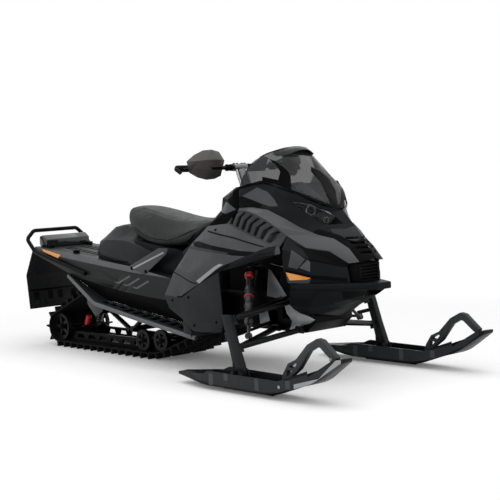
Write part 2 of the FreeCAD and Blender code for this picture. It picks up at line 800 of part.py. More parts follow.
def kingpin(z):
    """Point of the right steering axis at height z."""
    back = math.tan(math.radians(D.caster))
    return Vector(D.saddle_x - (z - D.saddle_z) * back, D.kingpin_inset - D.ski_stance, z)


def kingpin_axis():
    return Vector(-math.sin(math.radians(D.caster)), 0, math.cos(math.radians(D.caster)))


def leg(z):
    """Middle of the spindle leg at height z, over the ski's centre."""
    return kingpin(z) - Vector(0, D.kingpin_inset, 0)


def ski():
    """Moulded ski: a tray with a keel, its runner and the saddle cheeks."""
    made = body("ski_right")
    keel_z = D.runner_depth
    side = [(415, 46), (560, 34), (690, keel_z + 12, 120), (1120, keel_z + 12, 260), (1400, 96, 300),
            (1570, 208), (1575, 226, 6), (1500, 214, 60), (1380, 158, 300), (1190, 92, 60),
            (700, 96, 16), (655, 78, 16), (415, 60)]
    feature(made, "Pad", sketch(made, "XZ_Plane", [rounded(side)], "Sizes.ski_stance - Sizes.ski_width / 2"),
            "Sizes.ski_width")
    floor = [(600, 130), (600, 58, 10), (700, keel_z + 34, 60), (1130, keel_z + 34, 200), (1260, 78, 60),
             (1400, 140, 60), (1520, 215), (1520, 300), (600, 300)]
    feature(made, "Pocket", sketch(made, "XZ_Plane", [rounded(floor)],
                                   "Sizes.ski_stance - Sizes.ski_width / 2 + Sizes.ski_wall"),
            "Sizes.ski_width - 2 * Sizes.ski_wall", reverse=True)
    y = -D.ski_stance
    half = D.ski_width / 2
    edge = half + 20
    tail = [(400, edge), (640, edge), (640, half), (560, half - 14), (470, half - 36), (400, half - 46)]
    tip = [(1250, edge), (1600, edge), (1600, 30), (1575, 38), (1500, 52), (1400, half - 10), (1250, half)]
    trims = [rounded([(x, y + sign * away) for x, away in points]) for points in (tail, tip) for sign in (-1, 1)]
    feature(made, "Pocket", sketch(made, "XY_Plane", trims), "1400", "Symmetric")
    keel = [(640, 30), (680, keel_z, 20), (1120, keel_z, 160), (1300, 70, 200), (1330, 90), (1200, 60), (1000, 34)]
    feature(made, "Pad", sketch(made, "XZ_Plane", [rounded(keel)], "Sizes.ski_stance - Sizes.keel_width / 2"),
            "Sizes.keel_width")
    runner = [(720, keel_z + 2), (735, 0), (1090, 0), (1110, keel_z + 2)]
    feature(made, "Pad", sketch(made, "XZ_Plane", [rounded(runner)], "Sizes.ski_stance - Sizes.runner_width / 2"),
            "Sizes.runner_width")
    saddle = Vector(D.saddle_x, D.saddle_z, 0)
    cheek = rounded([(saddle.x - 60, keel_z + 30), (saddle.x - 26, saddle.y + 22, 16),
                     (saddle.x + 26, saddle.y + 22, 16), (saddle.x + 60, keel_z + 30)])
    hole = [Part.Circle(saddle, Vector(0, 0, 1), D.saddle_bolt + D.seat_gap)]
    inside = "(Sizes.spindle_width / 2 + Sizes.saddle_gap)"
    for offset in (f"Sizes.ski_stance + {inside}", f"Sizes.ski_stance - {inside} - Sizes.saddle_plate"):
        feature(made, "Pad", sketch(made, "XZ_Plane", [cheek, hole], offset), "Sizes.saddle_plate")
    return made


def ski_loop(ski_piece):
    """Closed bow from the ski's deck to its tip, with two windows in its leg."""
    made = body("ski_loop")
    bow = [(1150, 40), (1172, 120), (1208, 172), (1262, 196, 20), (1338, 272, 16), (1404, 306, 16),
           (1436, 300, 10), (1524, 226), (1512, 206), (1488, 212), (1424, 262), (1404, 268, 16),
           (1352, 240, 14), (1282, 150, 20), (1215, 100), (1196, 40)]
    feature(made, "Pad", sketch(made, "XZ_Plane", [rounded(bow)], "Sizes.ski_stance - Sizes.loop_width / 2"),
            "Sizes.loop_width")
    windows = [rounded([(1196, 106), (1214, 118), (1232, 138), (1200, 142)]),
               rounded([(1212, 156), (1246, 150), (1266, 174), (1256, 182)])]
    feature(made, "Pocket", sketch(made, "XZ_Plane", windows), "1400", "Symmetric")
    return cut("ski_loop_right", made, ski_piece)


def ear(name, ball_z):
    """Lug of the spindle under a ball joint, with the stud that stands in the joint."""
    axis = kingpin_axis()
    centre = kingpin(ball_z)
    turn = Rotation(Vector(0, 0, 1), axis)
    thick = 10
    under = centre - axis * (D.socket_height / 2 + 0.6 + thick)
    plate = primitive("Cylinder", name + "_plate", under, turn, Radius="Sizes.socket_radius", Height="10")
    stud = rod(name + "_stud", under, centre + axis * D.socket_height / 4, "Sizes.stud_radius")
    arm_box = primitive("Box", name + "_arm", under + turn.multVec(Vector(-12, -D.kingpin_inset, 0)), turn,
                        Length="24", Width="Sizes.kingpin_inset", Height="10")
    return [plate, stud, arm_box]


def steer_ball():
    return kingpin(268) - Vector(D.tie_lever, 0, 0)


def spindle():
    """Leg over the ski, with an ear for each ball joint and the steering lever."""
    made = body("spindle_leg")
    foot = kingpin(D.saddle_z)
    neck = kingpin(D.lower_ball_z)
    top = kingpin(D.spindle_top_z)
    outline = [(foot.x - 34, foot.z - 18), (foot.x + 30, foot.z - 18), (foot.x + 30, foot.z + 30),
               (neck.x + 27, neck.z + 10), (top.x + 24, top.z), (top.x - 20, top.z),
               (neck.x - 22, neck.z + 10), (foot.x - 36, foot.z + 50)]
    feature(made, "Pad", sketch(made, "XZ_Plane", [rounded(outline)], "Sizes.ski_stance - Sizes.spindle_width / 2"),
            "Sizes.spindle_width")
    pieces = [made] + ear("lower_ear", D.lower_ball_z) + ear("upper_ear", D.upper_ball_z)
    ball = steer_ball()
    pieces.append(rod("steer_lever", leg(285) + Vector(-8, 10, 0), ball, "Sizes.tie_radius * 1.3"))
    pieces.append(disc("steer_boss", ball, "Sizes.tie_radius * 1.6", "20", kingpin_axis()))
    pieces.append(disc("saddle_bolt", leg(D.saddle_z), "Sizes.saddle_bolt",
                       "Sizes.spindle_width + 2 * Sizes.saddle_gap + 2 * Sizes.saddle_plate + 8"))
    return fuse("spindle_right", pieces)


def tie_rod():
    """Rod from under the steering lever to inside the front frame, where its far link is left open."""
    axis = kingpin_axis()
    eye = steer_ball() - axis * (10 + D.tie_radius + 3)
    end = Vector(685, 38 - D.bulkhead_half, 290)
    pieces = [rod("tie_bar", eye, end, "Sizes.tie_radius"),
              disc("tie_eye", eye, "Sizes.tie_radius * 1.6", "20", axis)]
    return fuse("tie_rod_right", pieces)


def arm_inner(radius):
    """Distance of an arm's bushes from the middle plane, so that they rest on the front frame."""
    return D.bulkhead_half + D.seat_gap + radius * 1.25


def arm(name, ball_z, bushes, radius, size):
    """A-shaped arm: two legs from the ball joint to bushes on the front frame."""
    ball = kingpin(ball_z)
    turn = Rotation(Vector(0, 0, 1), kingpin_axis())
    inner = [Vector(x, -arm_inner(radius), z) for x, z in bushes]
    pieces = [rod(f"{name}_leg_{index}", ball, spot, size) for index, spot in enumerate(inner)]
    pieces += [disc(f"{name}_bush_{index}", spot, f"{size} * 1.25", "44", Vector(1, 0, 0))
               for index, spot in enumerate(inner)]
    pieces.append(disc(name + "_socket", ball, "Sizes.socket_radius", "Sizes.socket_height", kingpin_axis()))
    whole = fuse(name + "_whole", pieces)
    reach = D.socket_height
    bore = primitive("Cylinder", name + "_bore", ball - turn.multVec(Vector(0, 0, reach)), turn,
                     Radius="Sizes.stud_radius + Sizes.seat_gap", Height="1.4 * Sizes.socket_height")
    return cut(name, whole, bore)


LOWER_BUSHES = [(905, 262), (735, 262)]
UPPER_BUSHES = [(850, 405), (768, 405)]


def shock_seat():
    """Centre of the shock's lower eye, resting on the rear leg of the lower arm."""
    ball = kingpin(D.lower_ball_z)
    x, z = LOWER_BUSHES[1]
    inner = Vector(x, -arm_inner(D.lower_arm_radius), z)
    share = (-420 - ball.y) / (inner.y - ball.y)
    lift = D.lower_arm_radius + D.shock_radius * 0.6 + 2.6
    return ball + (inner - ball) * share + Vector(0, 0, lift)


SHOCK_TOP = Vector(590, -205, 566)


def suspension():
    lower = arm("lower_arm_right", D.lower_ball_z, LOWER_BUSHES, D.lower_arm_radius, "Sizes.lower_arm_radius")
    upper = arm("upper_arm_right", D.upper_ball_z, UPPER_BUSHES, D.upper_arm_radius, "Sizes.upper_arm_radius")
    pieces = []
    for piece in (lower, upper):
        pieces += [piece, mirrored(piece, piece.Name + "_other")]
    node(group("suspension_arms", pieces))
    node(pair("front_shocks", coil_over("front_shock_right", SHOCK_TOP, shock_seat(), (9, 0))))


BULKHEAD_NOSE_X = 1000


def bulkhead():
    """Cast front frame: two side plates joined by a floor and a front wall, with the shock pins."""
    outer = body("bulkhead_casting")
    rear = D.tunnel_front_x + D.seat_gap
    side = [(rear, 245), (rear, 440), (545, 440), (575, 580, 20), (640, 600, 20), (790, 575, 14), (893, 437),
            (905, 400), (BULKHEAD_NOSE_X, 335), (BULKHEAD_NOSE_X, 300), (930, 245)]
    feature(outer, "Pad", sketch(outer, "XZ_Plane", [rounded(side)]), "2 * Sizes.bulkhead_half", "Symmetric")
    hollow = [(rear - 10, 262), (rear - 10, 640), (660, 640), (780, 560), (880, 430), (893, 396),
              (BULKHEAD_NOSE_X - 14, 328), (BULKHEAD_NOSE_X - 14, 306), (925, 262)]
    feature(outer, "Pocket", sketch(outer, "XZ_Plane", [rounded(hollow)]),
            "2 * (Sizes.bulkhead_half - Sizes.bulkhead_plate)", "Symmetric")
    windows = [rounded([(610, 440, 12), (700, 440, 12), (770, 540, 12), (610, 560, 12)]),
               rounded([(655, 268), (726, 268), (726, 350), (655, 350)]),
               rounded([(760, 310), (880, 310), (850, 375), (760, 375)])]
    feature(outer, "Pocket", sketch(outer, "XZ_Plane", windows), "600", "Symmetric")
    pieces = [outer]
    for side_sign in (-1, 1):
        start = Vector(SHOCK_TOP.x, side_sign * (D.bulkhead_half - 4), SHOCK_TOP.z)
        end = Vector(SHOCK_TOP.x, side_sign * (-SHOCK_TOP.y + 18), SHOCK_TOP.z)
        pieces.append(rod(f"shock_pin_{'r' if side_sign < 0 else 'l'}", start, end, "9"))
    return node(fuse("bulkhead", pieces))


def engine():
    base = Vector(345, 13 - D.bulkhead_half, 262 + D.seat_gap)
    return node(primitive("Box", "engine", base, Length="210", Width="2 * (Sizes.bulkhead_half - 13)",
                          Height="328"))


# Bodywork: named feature lines of the right side, shared by the panels that meet there

CREST_REAR = curve([(620, -285, 894), (700, -284, 897), (781, -275, 893), (890, -218, 835), (1040, -143, 752)], 5)
CREST_FRONT = curve([(1040, -143, 752), (1160, -100, 713), (1268, -89, 616)], 3)
STRIPE_REAR = curve([(628, -300, 884), (728, -310, 874), (823, -300, 837), (925, -250, 751)], 5)
STRIPE_FRONT = curve([(925, -250, 751), (1060, -190, 682), (1159, -130, 658), (1219, -115, 610)], 3)
COWL = curve([(600, -262, 1003), (700, -264, 1020), (785, -252, 1028), (922, -188, 966), (1068, -40, 874),
              (1085, 0, 868)], 5)
BROW_REAR = curve([(610, -275, 950), (700, -272, 962), (800, -255, 955), (935, -180, 893), (1070, -75, 812)], 5)
BROW_FRONT = curve([(1070, -75, 812), (1185, -48, 738), (1285, -45, 624)], 3)
RIDGE = curve([(1085, 0, 868), (1200, 0, 750), (1298, 0, 630)], 3)
SHOULDER = vectors([(384, -300, 799), (549, -310, 814), (750, -338, 758), (870, -345, 722), (948, -325, 702)])
WAIST = vectors([(89, -380, 419), (237, -385, 413), (400, -395, 497), (573, -410, 568), (960, -332, 668)])


def side_panels():
    """Upper panel with its knee and crease, and the lower panel under it."""
    inner = inward(D.panel_depth)
    upper_rows = [
        SHOULDER,
        vectors([(287, -330, 710), (500, -378, 705), (700, -392, 672), (840, -382, 668), (952, -328, 690)]),
        vectors([(165, -370, 551), (380, -405, 560), (560, -422, 592), (790, -395, 640), (956, -330, 680)]),
        WAIST,
    ]
    node(pair("side_panels_upper", skin("side_panel_upper_right", upper_rows, inner)))
    lower_rows = [
        WAIST[:4],
        vectors([(120, -378, 352), (245, -381, 350), (410, -388, 380), (575, -395, 400)]),
        vectors([(225, -378, 300), (300, -379, 290), (420, -384, 290), (568, -388, 300)]),
        vectors([(322, -380, 238), (380, -380, 236), (450, -380, 240), (545, -380, 246)]),
    ]
    lower = skin("side_panel_lower_right", lower_rows, inner)
    node(pair("side_panels_lower", lower))
    return lower


def hood():
    """Hood over the crests, with a lamp set into each side and the light stripe below."""
    inner = inward(D.panel_depth)
    rear = skin("hood_rear", [CREST_REAR, BROW_REAR, COWL], inner)
    front = skin("hood_front", [CREST_FRONT, BROW_FRONT, RIDGE], inner)
    vents = []
    for row in range(4):
        low = 654 + 24 * row
        wide = 58 + 5 * row
        vents.append(rounded([(-wide, low), (wide, low), (wide + 2, low + 11), (-wide - 2, low + 11)]))
    lamp = slab("lamp_outline", "XZ_Plane", [rounded([(905, 921), (985, 908), (1120, 800), (1040, 798)])],
                "280", "20")
    rear_shell = fuse("hood_right_plain", [rear, front])
    right = cut("hood_right", rear_shell, lamp)
    slats = slab("hood_vents", "YZ_Plane", vents, "200", "1160")
    node(cut("hood", fuse("hood_plain", [right, mirrored(right, "hood_left")]), slats))
    lens = common("headlight_right", rear, lamp)
    node(pair("headlights", lens))
    stripe = skin("hood_stripe_right", [STRIPE_REAR + STRIPE_FRONT[1:], CREST_REAR + CREST_FRONT[1:]], inner)
    node(pair("hood_stripes", stripe))


def louvres():
    """Curved fins in the side of the hood, cut from one thick panel."""
    shoulder = [SHOULDER[1], *between(SHOULDER[1:2], SHOULDER[2:3], 0.5), SHOULDER[2],
                *between(SHOULDER[2:3], SHOULDER[3:4], 0.5), SHOULDER[3], SHOULDER[4]]
    block = skin("louvre_block", [shoulder, STRIPE_REAR], inward(D.louvre_depth + D.panel_depth))
    outside = inward(-3)
    rows = [[outside(p) for p in between(shoulder, STRIPE_REAR, share)] for share in (0.07, 0.93)]
    space = skin("louvre_space", rows, inward(D.louvre_depth + 3))
    gaps = []
    count = 7
    step = Vector(27, 0, 0)
    for index in range(count):
        foot = Vector(566 + 50 * index, 800 - 15 * index, 0)
        crown = Vector(650 + 42 * index, 900 - 19 * index, 0)
        bulge = (foot + crown) * 0.5 + Vector(-14, 14, 0)
        loop = [foot, bulge, crown, crown + step, bulge + step, foot + step]
        gaps.append([Part.LineSegment(a, b) for a, b in zip(loop, loop[1:] + loop[:1])])
    comb = slab("louvre_comb", "XZ_Plane", gaps, "300", "200")
    made = cut("louvres_right", block, common("louvre_gaps", space, comb))
    node(pair("louvres", made))


def steering_axis():
    return Vector(-math.sin(math.radians(D.post_lean)), 0, math.cos(math.radians(D.post_lean)))


def console():
    """Cowl behind the hood, with the knee panel below and the collar of the steering post."""
    knee = between(SHOULDER[:1], SHOULDER[1:2], 0.5)
    rows = [
        [SHOULDER[0], knee[0], SHOULDER[1]],
        vectors([(430, -240, 880), (520, -285, 880), (620, -285, 894)]),
        vectors([(414, -215, 943), (510, -255, 960), (610, -275, 950)]),
        vectors([(470, -180, 985), (541, -230, 1000), (600, -262, 1003)]),
        vectors([(440, -90, 965), (560, -120, 1000), (640, -130, 1012)]),
        vectors([(402, 0, 932), (520, 0, 970), (660, 0, 1002)]),
    ]
    rows += [[Vector(p.x, -p.y, p.z) for p in row] for row in reversed(rows[:-1])]
    shell = skin("console_shell", rows, inward(D.panel_depth))
    root = Vector(D.bar_x, 0, D.bar_z)
    axis = steering_axis()
    reach = (D.bar_z - D.collar_z) / axis.z
    collar = rod("post_collar", root - axis * (reach + 50), root - axis * reach, "Sizes.post_radius + 12")
    hole = rod("post_hole", root - axis * (reach + 80), root - axis * (reach - 10),
               "Sizes.post_radius + Sizes.seat_gap")
    return node(cut("console", fuse("console_whole", [shell, collar]), hole))


def windshield():
    """Curved screen on the hood's brow, open at the back."""
    right_rows = [
        COWL,
        curve([(640, -264, 1062), (755, -202, 1092), (862, -138, 1048), (985, 0, 985)], 5),
        curve([(665, -228, 1120), (725, -168, 1148), (822, -92, 1128), (882, 0, 1100)], 5),
        curve([(682, -192, 1150), (716, -146, 1176), (757, -88, 1195), (780, 0, 1204)], 5),
    ]
    rows = [row + other_side(row)[1:] for row in right_rows]
    return node(skin("windshield", rows, inward(D.screen_depth)))


LIP_TOP = 512
LIP_LOW = 478


def nose_sides():
    """Fairing between the suspension bay and the nose, down to the bumper."""
    over = LIP_TOP + D.seat_gap
    rows = [
        STRIPE_FRONT,
        vectors([(958, -318, 690), (1060, -235, 640), (1150, -152, 612), (1212, -118, 592)]),
        vectors([(934, -290, 583), (1066, -226, 545), (1150, -160, 540), (1222, -116, 548)]),
        vectors([(936, -262, over), (1050, -215, over), (1150, -155, over), (1225, -112, over)]),
    ]
    return node(pair("nose_sides", skin("nose_side_right", rows, inward(D.panel_depth))))


def front_bumper():
    made = body("front_bumper")
    half = [(940, 250), (1060, 214, 60), (1200, 136, 60), (1348, 50, 10)]
    plan = half + [(p[0], -p[1], *p[2:]) for p in reversed(half)]
    profile = sketch(made, "XY_Plane", [rounded(plan)], str(LIP_LOW))
    feature(made, "Pad", profile, str(LIP_TOP - LIP_LOW))
    return node(made)


def nose_grille():
    made = body("nose_grille")
    half = [(1110, 140), (1210, 98), (1252, 78, 10)]
    plan = half + [(p[0], -p[1], *p[2:]) for p in reversed(half)]
    base = LIP_TOP + D.seat_gap
    feature(made, "Pad", sketch(made, "XY_Plane", [rounded(plan)], str(base)), "92")
    slots = [rounded([(-60, base + 10 + 16 * row), (60, base + 10 + 16 * row), (60, base + 18 + 16 * row),
                      (-60, base + 18 + 16 * row)]) for row in range(5)]
    feature(made, "Pocket", sketch(made, "YZ_Plane", slots, "1236"), "60", reverse=True)
    return node(made)


def belly_pan():
    """Pan under the nose, its rear edge against the front frame."""
    top = LIP_LOW - D.seat_gap
    inner = inward(D.panel_depth, Vector(HEART.x, 0, top))
    rows = [
        vectors([(938, -248, top), (1070, -206, top), (1195, -134, top), (1300, -72, top)]),
        vectors([(905, -225, 395), (1010, -185, 385), (1110, -120, 405), (1268, -52, 450)]),
        vectors([(940, -166, 346), (1030, -122, 344), (1105, -80, 376), (1245, -40, 440)]),
        vectors([(960, 0, 322), (1040, 0, 328), (1110, 0, 366), (1262, 0, 446)]),
    ]
    rows += [[Vector(p.x, -p.y, p.z) for p in row] for row in reversed(rows[:-1])]
    pan = skin("belly_shell", rows, inner)
    room = primitive("Box", "belly_room", Vector(880, -D.bulkhead_half - D.seat_gap, 200), Rotation(),
                     Width="2 * (Sizes.bulkhead_half + Sizes.seat_gap)", Height="200")
    room.Length = BULKHEAD_NOSE_X + D.seat_gap - 880
    return node(cut("belly_pan", pan, room))


def on_tunnel(x):
    return tunnel_top(x) + D.seat_gap


TANK_TOP = [(60, 690), (170, 762), (230, 806), (330, 872), (398, 905)]


def tank_side(lift):
    return [(-20, on_tunnel(-20)), (300, on_tunnel(300)), (300, 604), (398, 644)] + [
        (x, z + lift) for x, z in reversed(TANK_TOP)] + [(-20, 640 + lift)]


def fuel_tank():
    made = slab("fuel_tank", "XZ_Plane", [rounded(tank_side(0))], "2 * Sizes.tank_half", side="Symmetric")
    return node(made)


# Seat, rear cover and rear fittings

SEAT = [
    (-560, [(0, 776), (80, 776), (112, 806), (110, 852), (78, 880), (0, 887)]),
    (-500, [(0, 738), (110, 738), (140, 778), (132, 852), (92, 886), (0, 893)]),
    (-400, [(0, 690), (125, 690), (155, 750), (148, 835), (103, 879), (0, 889)]),
    (-230, [(0, 668), (150, 668), (172, 715), (156, 800), (108, 852), (0, 866)]),
    (-80, [(0, 655), (162, 655), (185, 700), (160, 765), (110, 818), (0, 836)]),
    (60, [(0, 680), (160, 696), (180, 740), (150, 785), (100, 806), (0, 820)]),
    (170, [(0, 740), (140, 770), (152, 790), (132, 808), (90, 818), (0, 826)]),
    (235, [(0, 790), (108, 806), (118, 816), (100, 825), (70, 830), (0, 834)]),
]


def seat():
    """Solo seat with a tall rear; its front tapers up over the tank."""
    whole = ring_body("seat_whole", SEAT)
    room = slab("tank_room", "XZ_Plane", [rounded(tank_side(D.seat_gap))], "400", side="Symmetric")
    return node(cut("seat", whole, room))


def seat_base():
    made = body("seat_base")
    top = [(x, half[0][1] - D.seat_gap) for x, half in SEAT[2:5]]
    front = -20 - D.seat_gap
    outline = [(-433, on_tunnel(-433)), (-448, on_tunnel(-448)), (-448, top[0][1] + 16)] + top
    outline += [(front, 640), (front, on_tunnel(front))]
    feature(made, "Pad", sketch(made, "XZ_Plane", [rounded(outline)]), "2 * Sizes.seat_base_half", "Symmetric")
    return node(made)


def rear_cover():
    """Low boot behind and beside the seat base, standing on the tunnel."""
    plan = [
        (-830, 62, 30, [(0.87, 682), (0.61, 704), (0.27, 712), (0, 714)]),
        (-760, 44, 40, [(0.86, 692), (0.62, 718), (0.35, 766), (0, 776)]),
        (-640, 32, 44, [(0.84, 694), (0.6, 718), (0.36, 778), (0, 788)]),
        (-570, 26, 44, [(0.83, 692), (0.62, 712), (0.32, 760), (0, 768)]),
        (-500, 20, 42, [(0.83, 686), (0.67, 702), (0.42, 722), (0, 728)]),
        (-430, 14, 38, [(0.85, 672), (0.69, 680), (0.4, 684), (0, 684)]),
        (-273, 12, 24, [(0.88, 632), (0.75, 640), (0.4, 640), (0, 640)]),
    ]
    rings = []
    for x, inset, step, crown in plan:
        base = on_tunnel(x)
        wide = D.tunnel_half_width - inset
        rings.append((x, [(0, base), (wide, base), (wide + 4, base + step)]
                      + [(wide * share, z) for share, z in crown]))
    whole = ring_body("rear_cover_whole", rings)
    front = -448 - D.seat_gap
    room = primitive("Box", "seat_room", Vector(front, -D.seat_base_half - D.seat_gap, 400), Rotation(),
                     Length="400", Width="2 * (Sizes.seat_base_half + Sizes.seat_gap)", Height="400")
    return node(cut("rear_cover", whole, room))


def rear_bumper():
    """Tube along both sides of the tunnel and up across its rear end."""
    side = D.tunnel_half_width + D.bumper_radius + D.seat_gap
    rear = D.bumper_rear_x
    right = vectors([(-870, -side, 486), (-1418, -side, 606), (rear + 6, -side, 688), (rear, -168, 740)])
    return node(tube("rear_bumper", right + other_side(right), 40, D.bumper_radius))


def snow_flap():
    """Hinged flap, bent back below its top edge, with a rib and two recesses on its lower half."""
    thick = D.flap_thickness
    top = D.tunnel_rear_x - D.seat_gap
    kink = Vector(-1573, 0, 446)
    hem = Vector(-1546, 0, 224)
    outline = [(top, 640), (-1484, 610), (kink.x, kink.z), (hem.x, hem.z), (hem.x + thick, hem.z),
               (kink.x + thick, kink.z), (-1484 + thick, 598), (top, 640 - thick)]
    sheet_part = slab("flap_sheet", "XZ_Plane", [rounded(outline)], "2 * Sizes.flap_half_width", side="Symmetric")

    def face(z):
        return kink.x + thick + (kink.z - z) * (hem.x - kink.x) / (kink.z - hem.z)

    rib = slab("flap_rib", "XZ_Plane", [rounded([(face(350) - 2, 350), (face(340) + 9, 338), (face(318) - 2, 318)])],
               "2 * Sizes.flap_half_width - 24", side="Symmetric")
    hollows = []
    for side in (-1, 1):
        pocket = slab(f"flap_pocket_{'r' if side < 0 else 'l'}", "XZ_Plane", [rounded([
            (face(306) - 5, 306), (face(306) + 5, 306), (face(244) + 5, 244), (face(244) - 5, 244)])],
            "46", side="Symmetric")
        pocket.Placement = Placement(Vector(0, side * 128, 0), Rotation())
        hollows.append(pocket)
    whole = fuse("flap_whole", [sheet_part, rib])
    return node(cut("snow_flap", whole, group("flap_pockets", hollows)))


def taillight():
    rear = D.tunnel_rear_x
    front = rear + 74
    side = [(rear, on_tunnel(rear)), (rear - 10, 656), (rear - 5, 704, 10), (rear + 34, 712, 12),
            (front, 684, 12), (front, on_tunnel(front))]
    return node(slab("taillight", "XZ_Plane", [rounded(side)], "340", side="Symmetric"))


def reflectors():
    rear = slab("reflector_rear", "XZ_Plane",
                [rounded([(-1350, 627), (-1145, 594), (-1176, 572), (-1342, 612)])], "3", "Sizes.tunnel_half_width")
    flank = slab("amber_outline", "XZ_Plane", [rounded([(944, 570), (1062, 541), (1040, 532), (950, 528)])],
                 "300", "100")
    outer = inward(-2)
    rows = [
        vectors([(934, -290, 583), (1066, -226, 545)]),
        vectors([(936, -262, LIP_TOP), (1050, -215, LIP_TOP)]),
    ]
    plate = skin("reflector_plate", [[outer(p) for p in row] for row in rows], inward(1.8))
    front = common("reflector_front", plate, flank)
    pieces = []
    for piece in (rear, front):
        pieces += [piece, mirrored(piece, piece.Name + "_left")]
    return node(group("reflectors", pieces))


def cargo_anchors():
    """Four bored pucks on the tunnel, square to its top."""
    slope = math.atan2(tunnel_top(D.anchor_rear_x) - tunnel_top(D.anchor_front_x),
                       D.anchor_front_x - D.anchor_rear_x)
    turn = Rotation(Vector(0, 1, 0), math.degrees(slope))
    normal = turn.multVec(Vector(0, 0, 1))
    pieces = []
    for label, x in (("rear", D.anchor_rear_x), ("front", D.anchor_front_x)):
        for side, y in (("r", -D.anchor_side_y), ("l", D.anchor_side_y)):
            name = f"anchor_{label}_{side}"
            base = Vector(x, y, tunnel_top(x)) + normal * D.seat_gap
            puck = primitive("Cylinder", name + "_puck", base, turn, Radius="Sizes.anchor_radius",
                             Height="Sizes.anchor_height")
            bore = primitive("Cylinder", name + "_bore", base, turn, Radius="Sizes.anchor_bore",
                             Height="Sizes.anchor_height")
            pieces.append(cut(name, puck, bore))
    return node(group("cargo_anchors", pieces))


# Handlebar

def handlebar():
    grip = D.bar_reach
    right = vectors([(298, -grip, D.bar_z + 4), (322, -150, D.bar_z)])
    points = right + other_side(right)
    bar = tube("bar_tube", points, 120, D.bar_radius)
    pieces = [bar]
    for side, label in ((-1, "r"), (1, "l")):
        outer = Vector(298, side * grip, D.bar_z + 4)
        inner = Vector(309.1, side * (grip - 130), D.bar_z + 2.1)
        pieces.append(rod(f"grip_{label}", inner, outer, "Sizes.grip_radius"))
    node(fuse("handlebar", pieces))
    root = Vector(D.bar_x, 0, D.bar_z)
    axis = steering_axis()
    clamp_x = 322
    foot = (D.bar_z - D.collar_z) / axis.z + 30
    post = rod("riser_post", root - axis * foot, root - axis * 16, "Sizes.post_radius")
    clamp = disc("riser_clamp", Vector(clamp_x, 0, D.bar_z), "Sizes.bar_radius + 10", "96")
    hole = disc("riser_hole", Vector(clamp_x, 0, D.bar_z), "Sizes.bar_radius + Sizes.seat_gap", "120")
    node(cut("riser", fuse("riser_whole", [post, clamp]), hole))
    palm = Vector(300, -320, D.bar_z + 6)
    rows = [curve([(x, y, D.bar_z + lift) for x, y, lift in row], 4) for row in (
        [(372, -405, -19), (415, -350, -56), (430, -235, -42)],
        [(385, -425, 14), (432, -340, 44), (442, -215, 38)],
        [(372, -420, 41), (420, -345, 96), (430, -240, 86)],
    )]
    guard = skin("guard_shell", rows, inward(5, palm))
    stay = rod("guard_stay", Vector(320, -205, D.bar_z), Vector(438, -222, D.bar_z + 34), "7")
    whole = fuse("guard_whole", [guard, stay])
    node(pair("hand_guards", cut("hand_guard_right", whole, bar)))


def build_all():
    tunnel()
    frame_brackets()
    track()
    slide_rails()
    running_wheels()
    skid_arms()
    skid_shock()
    drive_axle()
    ski_right = node(ski())
    loop_right = node(ski_loop(ski_right))
    spindle_right = node(spindle())
    tie_right = node(tie_rod())
    for piece in (ski_right, loop_right, spindle_right, tie_right):
        node(mirrored(piece, piece.Label.replace("right", "left")))
    suspension()
    bulkhead()
    engine()
    fuel_tank()
    running_boards(side_panels())
    hood()
    louvres()
    console()
    windshield()
    nose_sides()
    front_bumper()
    nose_grille()
    belly_pan()
    seat()
    seat_base()
    rear_cover()
    rear_bumper()
    snow_flap()
    taillight()
    reflectors()
    cargo_anchors()
    handlebar()


build_all()
doc.recompute()

faults = [item.Name for item in doc.Objects if {"Invalid", "Error"} & set(item.State)]
for item in doc.Objects:
    shape = getattr(item, "Shape", None)
    if shape and shape.Solids and not shape.isValid():
        faults.append(item.Name + " shape")
for name, item in NODES.items():
    if item.Shape.isNull() or not item.Shape.isValid() or not item.Shape.Solids:
        faults.append(name + " solid")
if faults:
    raise RuntimeError("not valid: " + ", ".join(faults))

os.makedirs("parts", exist_ok=True)
for name, item in NODES.items():
    item.Shape.exportStep(f"parts/{name}.step")
print(len(NODES), "sub-parts written")
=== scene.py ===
import json
import math

import bmesh
import bpy
from mathutils import Matrix, Vector
from mathutils.bvhtree import BVHTree

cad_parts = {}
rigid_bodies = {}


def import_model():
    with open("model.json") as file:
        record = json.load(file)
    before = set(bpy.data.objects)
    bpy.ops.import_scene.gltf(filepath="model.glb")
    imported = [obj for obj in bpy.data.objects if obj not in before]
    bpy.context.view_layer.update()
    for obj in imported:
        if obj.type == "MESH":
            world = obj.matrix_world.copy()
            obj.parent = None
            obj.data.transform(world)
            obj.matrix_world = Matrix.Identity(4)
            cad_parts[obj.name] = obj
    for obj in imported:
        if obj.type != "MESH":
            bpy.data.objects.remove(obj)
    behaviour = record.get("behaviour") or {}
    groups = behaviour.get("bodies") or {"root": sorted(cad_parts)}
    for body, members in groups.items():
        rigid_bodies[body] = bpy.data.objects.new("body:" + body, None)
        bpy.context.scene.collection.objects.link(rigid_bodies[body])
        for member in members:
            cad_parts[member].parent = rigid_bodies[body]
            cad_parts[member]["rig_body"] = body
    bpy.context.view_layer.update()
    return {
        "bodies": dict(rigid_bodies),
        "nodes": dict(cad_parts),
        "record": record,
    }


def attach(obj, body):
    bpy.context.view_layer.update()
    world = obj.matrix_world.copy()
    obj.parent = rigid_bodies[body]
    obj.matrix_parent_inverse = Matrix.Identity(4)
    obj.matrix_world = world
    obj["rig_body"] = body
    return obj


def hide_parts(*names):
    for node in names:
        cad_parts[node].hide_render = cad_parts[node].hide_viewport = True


# Looks of the snowmobile, in the frame of the CAD model. Lengths are in metres, unless a comment says mm.

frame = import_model()
NODES = frame["nodes"]
BODY_OF = {node: body for body in frame["bodies"] for node in frame["record"]["behaviour"]["bodies"][body]}
SLOT_OF = {part["node"]: part["material_slot"] for part in frame["record"]["subparts"]}
SIDES = ((-1, "right"), (1, "left"))
MM = 1000
IOR = 1.45


